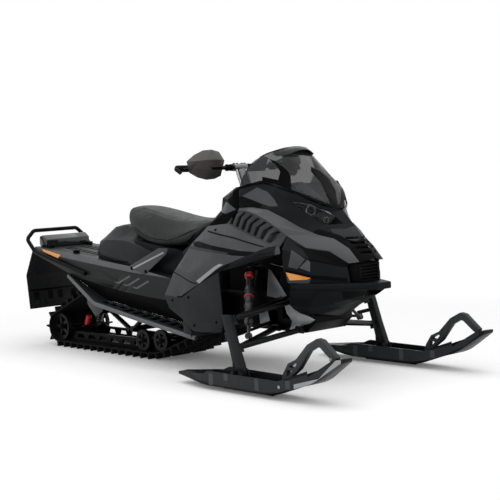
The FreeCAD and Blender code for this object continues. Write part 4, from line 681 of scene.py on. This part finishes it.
SWELL_FRAMES, SWELL_MOST = 20, 0.006
UNDERSIDE, FRONT_END = -0.3, 0.2
COVER = {"quality": 6, "mass": 0.4, "tension_stiffness": 40, "compression_stiffness": 40, "bending_stiffness": 4,
         "use_pressure": True, "uniform_pressure_force": 4.0, "vertex_group_mass": "held"}


def swelled(made):
    """Cloth with air in it: the cover swells a little and settles between its seams."""
    start = [vert.co.copy() for vert in made.data.vertices]
    held = made.vertex_groups.new(name="held")
    held.add([vert.index for vert in made.data.vertices
              if vert.normal.z < UNDERSIDE or vert.co.x > FRONT_END], 1.0, "REPLACE")
    cover = modify(made, "CLOTH")
    for setting, value in COVER.items():
        setattr(cover.settings, setting, value)
    cover.settings.effector_weights.gravity = 0
    cover.point_cache.frame_start = 1
    cover.point_cache.frame_end = SWELL_FRAMES
    for number in range(1, SWELL_FRAMES + 1):
        bpy.context.scene.frame_set(number)
    bake(made)
    bpy.context.scene.frame_set(1)
    for vert, rest in zip(made.data.vertices, start):
        moved = vert.co - rest
        if moved.length > SWELL_MOST:
            vert.co = rest + moved.normalized() * SWELL_MOST
    made.vertex_groups.clear()


seat = seat_shell()
swelled(seat)
smooth(seat, 60)
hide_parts("seat")


def seam(name, points, radius):
    """Welt laid on the seat's side along points (x, z), on both sides."""
    steps = 12
    line = [(x0 + (x1 - x0) * (step / steps), z0 + (z1 - z0) * (step / steps))
            for (x0, z0), (x1, z1) in zip(points, points[1:]) for step in range(steps)]
    for sign, label in SIDES:
        tube(f"{name}_{label}", side_spots(surface("seat_foam", seat.data), line, sign, 0.5), radius, MATT_BLACK)


seam("seat_seam", [(-0.46, 0.772), (-0.421, 0.751), (-0.380, 0.734), (-0.319, 0.718), (-0.219, 0.706),
                   (-0.123, 0.703), (-0.041, 0.716), (0.033, 0.742), (0.090, 0.764)], 0.0022)
seam("seat_piping", [(-0.50, 0.738), (-0.42, 0.706), (-0.33, 0.690), (-0.20, 0.680), (-0.10, 0.680), (0.0, 0.690),
                     (0.06, 0.714), (0.11, 0.748)], 0.0035)


# Windshield: a curved screen, printed black along its foot and folds; rows of (x, y, z) in mm, to the middle

def spline_rows(rows, along, across):
    """Grid of points through rows of control points, evened out both ways and carried on to the left side."""
    def blend(points, t):
        spans = len(points) - 1
        where = min(int(t * spans), spans - 1)
        local = t * spans - where
        before = points[max(where - 1, 0)]
        first, second = points[where], points[where + 1]
        after = points[min(where + 2, spans)]
        square, cube = local * local, local ** 3
        return 0.5 * (2 * first + (second - before) * local
                      + (2 * before - 5 * first + 4 * second - after) * square
                      + (3 * first - before - 3 * second + after) * cube)
    vectors = [[Vector(p) / MM for p in row] for row in rows]
    fine = [[blend(row, i / across) for i in range(across + 1)] for row in vectors]
    halves = [[blend([row[i] for row in fine], j / along) for i in range(across + 1)] for j in range(along + 1)]
    return [half + [Vector((p.x, -p.y, p.z)) for p in reversed(half[:-1])] for half in halves]


SCREEN_ROWS = [
    [(600, -264, 990), (700, -266, 1006), (785, -254, 1014), (922, -188, 962), (1052, -40, 880), (1064, 0, 876)],
    [(640, -264, 1062), (700, -240, 1082), (770, -196, 1090), (858, -134, 1048), (922, -45, 1002), (936, 0, 996)],
    [(665, -228, 1120), (700, -196, 1140), (745, -152, 1148), (818, -90, 1128), (848, -32, 1108), (858, 0, 1104)],
    [(682, -192, 1147), (702, -162, 1165), (724, -134, 1177), (757, -88, 1191), (774, -30, 1198), (780, 0, 1199)],
]
LIP_ROWS = [
    [(722, -124, 1176), (750, -86, 1193), (772, -32, 1201), (778, 0, 1202)],
    [(738, -130, 1166), (782, -92, 1178), (802, -35, 1192), (808, 0, 1194)],
    [(748, -133, 1154), (802, -95, 1160), (822, -37, 1180), (828, 0, 1183)],
]


def sheet(name, rows, material):
    """Thin surface through rows of points."""
    bm = bmesh.new()
    bridged(bm, [[bm.verts.new(point) for point in row] for row in rows], False)
    return piece(name, bm, material, "frame")


def screen():
    dark_rows = 2
    rows = spline_rows(SCREEN_ROWS, 24, 40)
    made = sheet("screen", rows, SCREEN)
    made.data.materials.append(SCREEN_DARK)
    for polygon in made.data.polygons[:dark_rows * (len(rows[0]) - 1)]:
        polygon.material_index = 1
    modify(made, "SOLIDIFY", thickness=0.0032, offset=0)
    modify(made, "BEVEL", width=0.001, segments=2)
    bake(made, 50)
    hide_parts("windshield")
    tube("screen_rim", rows[-1][2:-2], 0.0035, MATT_BLACK)


screen()
lip = sheet("screen_lip", spline_rows(LIP_ROWS, 8, 24), SCREEN_SHADE)
modify(lip, "SOLIDIFY", thickness=0.003, offset=0)
bake(lip, 50)
# SCREEN_DARK is the black print; the SCREEN_SHADE patches are flat greys painted for shade and reflections on the
# screen
for material, sides, *points in (
    (SCREEN_DARK, (1, -1), (728, -168, 1143), (765, -154, 1129), (838, -135, 1075), (859, -139, 1049),
     (912, -189, 970), (756, -243, 1028), (745, -232, 1050), (836, -207, 1032), (814, -169, 1072), (781, -163, 1108)),
    (SCREEN_SHADE, (1, -1), (908, -159, 993), (904, -109, 1019), (918, -95, 1011), (1019, -58, 922), (955, -129, 958)),
    (SCREEN_DARK, (1,), (885, -13, 1095), (914, 28, 1072), (932, 72, 1036), (997, 52, 969), (1070, -16, 884),
     (1036, -39, 905), (954, -14, 1012), (897, -26, 1070)),
    (SCREEN_SHADE, (1,), (732, -123, 1179), (775, -44, 1206), (772, 86, 1190), (815, 75, 1148), (821, -26, 1155),
     (799, -62, 1167), (736, -146, 1161)),
    (SCREEN_SHADE, (1, -1), (690, -190, 1150), (704, -172, 1157), (727, -167, 1146), (747, -211, 1080),
     (640, -252, 1080)),
):
    paint("screen", points, material, CAMERA_WAY, 0.12, sides)


# Headlights: clear lens over a dark bowl with two projectors a side and a light bar

PROJECTORS = ((0.990, 0.874, 0.022), (1.052, 0.828, 0.013))
PROJECTOR_PARTS = (
    ("ring", PALE, ((-0.012, 1), (0.006, 1.15), (0.010, 1.2), (0.012, 1.05), (0.004, 0.9))),
    ("lens", SCREEN_DARK, ((-0.004, 0.86), (0.004, 0.84), (0.009, 0.62), (0.012, 0.3), (0.0125, 0.05))),
)
LIGHT_BAR = ((0.915, 0.917), (0.95, 0.912), (0.99, 0.897), (1.03, 0.868), (1.07, 0.838), (1.10, 0.812))
LAMP_BOWL = ((0.906, 0.919), (0.95, 0.910), (0.985, 0.900), (1.03, 0.868), (1.07, 0.835), (1.06, 0.806),
             (1.03, 0.808), (0.985, 0.846), (0.945, 0.880))


def headlight(sign, label):
    away, sunk, behind = 0.6, 0.012, 0.010
    lamp = surface("headlights", NODES["headlights"].data)
    axis = Vector((0.83, sign * 0.5, 0.12)).normalized()
    for index, (x, z, size) in enumerate(PROJECTORS):
        spot, normal = cast("headlights", (x, sign * away, z), (0, -sign, 0))
        centre = spot - normal * sunk - axis * sunk
        for part, material, profile in PROJECTOR_PARTS:
            lathe(f"projector_{part}_{index}_{label}", [(along, size * share) for along, share in profile], centre,
                  axis, material)
    bar = [spot - Vector((0, sign * behind, 0)) for spot in side_spots(lamp, LIGHT_BAR, sign, away)]
    tube(f"light_bar_{label}", bar, 0.0028, PALE)
    inward = Vector((0.35, sign * 0.9, 0.1)).normalized()
    rim = side_spots(lamp, LAMP_BOWL, sign, away)
    bm = bmesh.new()
    loops = [[bm.verts.new(spot - inward * depth) for spot in rim] for depth in (behind, 0.034)]
    bridged(bm, loops)
    bm.faces.new(loops[1])
    piece(f"lamp_bowl_{label}", bm, MATT_BLACK)


for sign, label in SIDES:
    headlight(sign, label)


# Plates, strips and lines that follow the panels (right side, then mirrored)

STRIP_LIFT, STRIP_THICK = 0.0006, 0.0012


def plate(name, node, points, material, cells=0.02):
    """Thin strip on the side of a CAD node inside an outline (x, z) in mm."""
    outline = [(x / MM, z / MM) for x, z in points]
    bm = bmesh.new()
    bm.faces.new([bm.verts.new((x, 0, z)) for x, z in outline])
    bmesh.ops.triangulate(bm, faces=bm.faces)
    for axis, along in enumerate(((1, 0, 0), (0, 0, 1))):
        values = [point[axis] for point in outline]
        low, span = min(values), max(values) - min(values)
        count = max(1, int(span / cells))
        for index in range(1, count):
            bmesh.ops.bisect_plane(bm, geom=bm.verts[:] + bm.edges[:] + bm.faces[:],
                                   plane_co=[part * (low + span * index / count) for part in along], plane_no=along)
    normals = {}
    for vert in bm.verts:
        spot, normal = cast(node, (vert.co.x, -1.2, vert.co.z), (0, 1, 0))
        vert.co = spot + normal * (STRIP_LIFT + STRIP_THICK)
        normals[tuple(round(c, 7) for c in vert.co)] = normal
    for item in bmesh.ops.extrude_face_region(bm, geom=bm.faces[:])["geom"]:
        if isinstance(item, bmesh.types.BMVert):
            item.co -= normals[tuple(round(c, 7) for c in item.co)] * STRIP_THICK
    both(piece(name, bm, material, BODY_OF[node], sharp=40))


both(tube("cover_edge", [(-0.824, -0.155, 0.617), (-0.735, -0.170, 0.594), (-0.649, -0.182, 0.575),
                         (-0.560, -0.190, 0.571), (-0.468, -0.197, 0.570)], 0.0035, MATT_BLACK, curved=False))
plate("shoulder_line", "side_panels_upper", [(404, 776), (640, 746), (866, 704), (866, 699), (640, 740), (402, 769)],
      MATT_BLACK)
plate("strut_strip", "frame_brackets", [(-400, 540), (-128, 634), (-110, 640), (-96, 634), (-384, 534)], PALE, 0.05)
for index, (x, z) in enumerate(((-0.410, 0.534), (-0.276, 0.522))):
    both(bolt(f"strut_bolt_{index}", cast("frame_brackets", (x, -0.5, z), (0, 1, 0))[0], (0, -1, 0), 0.008))
for index, (x, z, panel) in enumerate(((0.156, 0.397, "lower"), (0.330, 0.270, "lower"), (0.520, 0.300, "lower"),
                                       (0.300, 0.420, "lower"), (0.470, 0.780, "upper"))):
    both(bolt(f"panel_screw_{index}", *cast(f"side_panels_{panel}", (x, -0.7, z), (0, 1, 0)), 0.006))


BOARD_LINE = [(-1.052, -0.224, 0.464), (-0.676, -0.308, 0.3215), (-0.190, -0.344, 0.261), (0.322, -0.362, 0.1965)]
TOOTH_STEP, TOOTH_HALF, TOOTH_HIGH, FIRST_TOOTH = 0.016, 0.003, 0.007, -0.98


def board_teeth():
    """Rows of thin traction teeth across the openings of a running board."""
    bm = bmesh.new()
    for (x0, y0, z0), (x1, y1, z1) in zip(BOARD_LINE, BOARD_LINE[1:]):
        count = int((x1 - x0) / TOOTH_STEP)
        for share in [index / count for index in range(1, count)]:
            x, y, z = x0 + (x1 - x0) * share, y0 + (y1 - y0) * share, z0 + (z1 - z0) * share
            if x < FIRST_TOOTH:
                continue
            line = ((-0.216, 0.012), ((y - 0.216) / 2, 0.009), (y + 0.006, 0.002))
            corners = [[bm.verts.new((x + aside, edge, z + rise - down)) for edge, rise in line]
                       for aside, down in ((-TOOTH_HALF, 0), (TOOTH_HALF, 0), (TOOTH_HALF, TOOTH_HIGH),
                                           (-TOOTH_HALF, TOOTH_HIGH))]
            bridged(bm, corners + corners[:1], False)
            for end in (0, 2):
                bm.faces.new([row[end] for row in corners])
    both(piece("board_teeth", bm, BLACK_METAL))


board_teeth()
# the outermost rib gets a painted highlight, the others stay black
for index, y in enumerate((0.045, 0.085, 0.125)):
    ends = [cast("tunnel", (x, -y, 1.0), (0, 0, -1))[0] for x in (-1.290 + index * 0.02, -0.900)]
    both(tube(f"tunnel_rib_{index}", ends, 0.0035, EDGE_HIGHLIGHT if index == 2 else MATT_BLACK, curved=False))


# Shocks: red caps and rings

CAPS = ((0.055, 0.0235, 0.036), (0.40, 0.0265, 0.016))
for sign, label in SIDES:
    top, foot = Vector((0.590, sign * 0.205, 0.566)), Vector((0.7997, sign * 0.420, 0.2548))
    axis = (foot - top).normalized()
    for index, (share, size, thick) in enumerate(CAPS):
        lathe(f"shock_cap_{index}_{label}", [(0, size * 0.45), (0.004, size * 0.78), (0.011, size),
              (thick - 0.006, size), (thick - 0.001, size * 0.82), (thick, size * 0.7)],
              top + axis * share * (foot - top).length, axis, RED)
skid_top, skid_foot = Vector((-1.040, 0, 0.255)), Vector((-1.099, 0, 0.126))
skid_axis = (skid_foot - skid_top).normalized()
lathe("skid_reservoir", [(0, 0.014), (0.003, 0.018), (0.070, 0.018), (0.073, 0.014)],
      skid_top + skid_axis * 0.065 + Vector((-0.026, -0.055, 0)), skid_axis, RED)


# Wheels: hub caps and axle bolts

HUBS = ((-1.258, 0.1253), (-0.407, 0.1035), (-0.239, 0.1135), (-0.833, 0.330))
HUB_FACE, CAP_DEPTH = 0.162, 0.006
for index, (x, z) in enumerate(HUBS):
    for sign, label in SIDES:
        lathe(f"hub_cap_{index}_{label}", [(0, 0.021), (0.004, 0.020), (0.007, 0.013), (0.008, 0.004)],
              (x, sign * HUB_FACE, z), (0, sign, 0), MATT_BLACK, count=28)
        bolt(f"axle_bolt_{index}_{label}", (x, sign * HUB_FACE + sign * CAP_DEPTH, z), (0, sign, 0), 0.008, "frame",
             BLACK_METAL)


# Skis: bolts through the ski, its loop and the saddle

SKI_MIDDLE, SADDLE_HALF = 0.5385, 0.032
for sign, label in SIDES:
    body = f"ski_{label}"
    spot, normal = cast(body, (1.203, sign * 1.0, 0.067), (0, -sign, 0))
    bolt(f"ski_bolt_{label}", spot - normal * 0.0024, normal, 0.009, body, PALE, 0.003)
    spot, normal = cast(f"ski_loop_{label}", (1.488, sign * 1.0, 0.214), (0, -sign, 0))
    bolt(f"loop_bolt_0_{label}", spot, normal, 0.007, body, PALE)
    for side in (-1, 1):
        bolt(f"saddle_nut_{'in' if side * sign < 0 else 'out'}_{label}",
             (0.855, sign * SKI_MIDDLE + side * SADDLE_HALF, 0.092), (0, side, 0), 0.011, f"ski_steer_{label}")


# Handlebar: grips with ribs, levers, switch block, hooked ends, clamps and the riser's two struts

def controls(sign, label):
    inner, outer = Vector((0.322, sign * 0.150, 1.104)), Vector((0.298, sign * 0.430, 1.108))
    bar = outer - inner
    axis = bar.normalized()
    ribs, first_rib, rib_step = 13, 0.60, 0.029
    for index in range(ribs):
        lathe(f"grip_rib_{index}_{label}", [(0, 0.0168), (0.0012, 0.0186), (0.0045, 0.0186), (0.0057, 0.0168)],
              inner + bar * (first_rib + index * rib_step), axis, GRIP, "handlebar", 24)
    lathe(f"switch_block_{label}", [(0, 0.016), (0.004, 0.023), (0.040, 0.023), (0.048, 0.015)],
          inner + bar * 0.34, axis, MATT_BLACK, "handlebar", 24)
    tube(f"lever_{label}", [inner + bar * share + Vector((ahead, 0, rise)) for share, ahead, rise in
                            ((0.36, 0.026, 0.002), (0.55, 0.052, 0.004), (0.80, 0.054, 0.002),
                             (0.97, 0.046, -0.006))], 0.0052, BLACK_METAL, "handlebar")


def bar_end(sign, label):
    tube(f"bar_hook_{label}", [(0.299, sign * 0.418, 1.108), (0.298, sign * 0.434, 1.108), (0.312, sign * 0.446, 1.105),
                               (0.334, sign * 0.447, 1.097), (0.348, sign * 0.442, 1.084)], 0.0105, GRIP, "handlebar")
    tube(f"riser_strut_{label}", [(0.336, sign * 0.034, 1.092), (0.352, sign * 0.036, 1.050),
                                  (0.372, sign * 0.036, 1.000), (0.384, sign * 0.030, 0.978)], 0.0075, ALLOY,
         "handlebar")
    for index, away in enumerate((0.058, 0.086)):
        lathe(f"bar_clamp_{index}_{label}", [(0, 0.013), (0.002, 0.019), (0.012, 0.019), (0.014, 0.013)],
              (0.325, sign * away, 1.104), (0, sign, 0), MATT_BLACK, "handlebar", 20)


for fit in (controls, bar_end):
    for sign, label in SIDES:
        fit(sign, label)
for index, y in enumerate((-0.040, -0.018, 0.018, 0.040)):
    bolt(f"clamp_bolt_{index}", (0.322, y, 1.1235), (0, 0, 1), 0.0065, "handlebar")


# Taillight: dark housing with a red lens on its rear face

housing = softened("taillight", 0.006)
housing.data.materials[0] = TAIL_HOUSING
bm = bmesh.new()
bm.faces.new([bm.verts.new(corner) for corner in ((-1.4515, -0.15, 0.664), (-1.4515, 0.15, 0.664),
                                                  (-1.4475, 0.15, 0.699), (-1.4475, -0.15, 0.699))])
tail = piece("tail_lens", bm, TAIL, "frame")
modify(tail, "SOLIDIFY", thickness=0.004)
modify(tail, "BEVEL", width=0.0015, segments=2)
bake(tail)


# Camera, floor and light

CAMERA_SPOT, AZIMUTH, DOWNWARD, ROLL = (5.206, -4.488, 1.108), *map(math.radians, (137.06, 4.003, -2.22))
LENS, SENSOR = 86.3, 36
WHITE = ("Color", (1, 1, 1, 1))


def camera():
    made = bpy.data.cameras.new("view")
    made.lens, made.sensor_width = LENS, SENSOR
    holder = linked("view", made)
    forward = Vector((math.cos(AZIMUTH) * math.cos(DOWNWARD), math.sin(AZIMUTH) * math.cos(DOWNWARD),
                      -math.sin(DOWNWARD)))
    right = forward.cross(Vector((0, 0, 1))).normalized()
    level = Matrix((right, right.cross(forward), -forward)).transposed().to_4x4()
    holder.matrix_world = Matrix.Translation(CAMERA_SPOT) @ level @ Matrix.Rotation(ROLL, 4, "Z")
    bpy.context.scene.camera = holder


def mixed(tree, factor, first, second):
    return add_node(tree, "MixShader", (), [("Fac", factor), (1, first), (2, second)]).outputs["Shader"]


def backdrop_rays(tree):
    """1 for the rays that show the background: from the camera, in gloss and through glass."""
    rays = tree.nodes.new("ShaderNodeLightPath").outputs
    found = rays["Is Camera Ray"]
    for name in ("Is Glossy Ray", "Is Transmission Ray"):
        most = add_node(tree, "Math", (), [(0, found), (1, rays[name])])
        most.operation = "MAXIMUM"
        found = most.outputs["Value"]
    return found


def floor():
    """A pale floor that fades to white away from the machine."""
    half, level, glow, fade_from, fade_to = 14, -0.0008, 0.10, 1.9, 3.4
    bm = bmesh.new()
    bm.faces.new([bm.verts.new((x, y, level)) for x, y in ((-half, -half), (half, -half), (half, half), (-half, half))])
    made = linked("floor", from_bmesh(bm, "floor"))
    white, skin = shader("floor_white", (0.88, 0.88, 0.88), 0.9, specular=0.1)
    tree, plain = white.node_tree, skin.outputs["BSDF"]
    near, far = [add_node(tree, "Emission", [WHITE, ("Strength", strength)]).outputs[0] for strength in (glow, 1.0)]
    lit = add_node(tree, "AddShader", (), [(0, plain), (1, near)]).outputs["Shader"]
    span = add_node(tree, "VectorMath", (), [(0, place(white))])
    span.operation = "LENGTH"
    fade = spread(white, span.outputs["Value"], 0, 1, fade_from, fade_to)
    shown = mixed(tree, backdrop_rays(tree), plain, mixed(tree, fade, lit, far))
    tree.links.new(shown, tree.nodes["Material Output"].inputs["Surface"])
    made.data.materials.append(white)


def sky():
    world = bpy.data.worlds.new("studio")
    bpy.context.scene.world = world
    world.use_nodes = True
    tree = world.node_tree
    soft = tree.nodes["Background"]
    light, shown_white = 0.5, 1.0
    for socket, value in (WHITE, ("Strength", light)):
        soft.inputs[socket].default_value = value
    white = add_node(tree, "Background", [WHITE, ("Strength", shown_white)])
    shown = mixed(tree, backdrop_rays(tree), soft.outputs[0], white.outputs[0])
    tree.links.new(shown, tree.nodes["World Output"].inputs["Surface"])


def panel_light(name, spot, aim, size, power):
    lamp = bpy.data.lights.new(name, "AREA")
    lamp.shape = "RECTANGLE"
    lamp.size, lamp.size_y = size
    lamp.energy = power
    holder = linked(name, lamp)
    holder.location = spot
    holder.rotation_euler = (Vector(aim) - Vector(spot)).to_track_quat("-Z", "Y").to_euler()


camera()
floor()
sky()
panel_light("overhead", (0.1, -0.1, 4.2), (0.1, -0.1, 0), (8.0, 7.0), 190)
panel_light("side", (1.0, -4.5, 2.6), (0, 0, 0.6), (4.0, 2.2), 45)
panel_light("front", (5.0, 0.6, 2.4), (0.6, 0, 0.6), (2.6, 2.2), 25)

bpy.context.scene.view_settings.view_transform = "Standard"
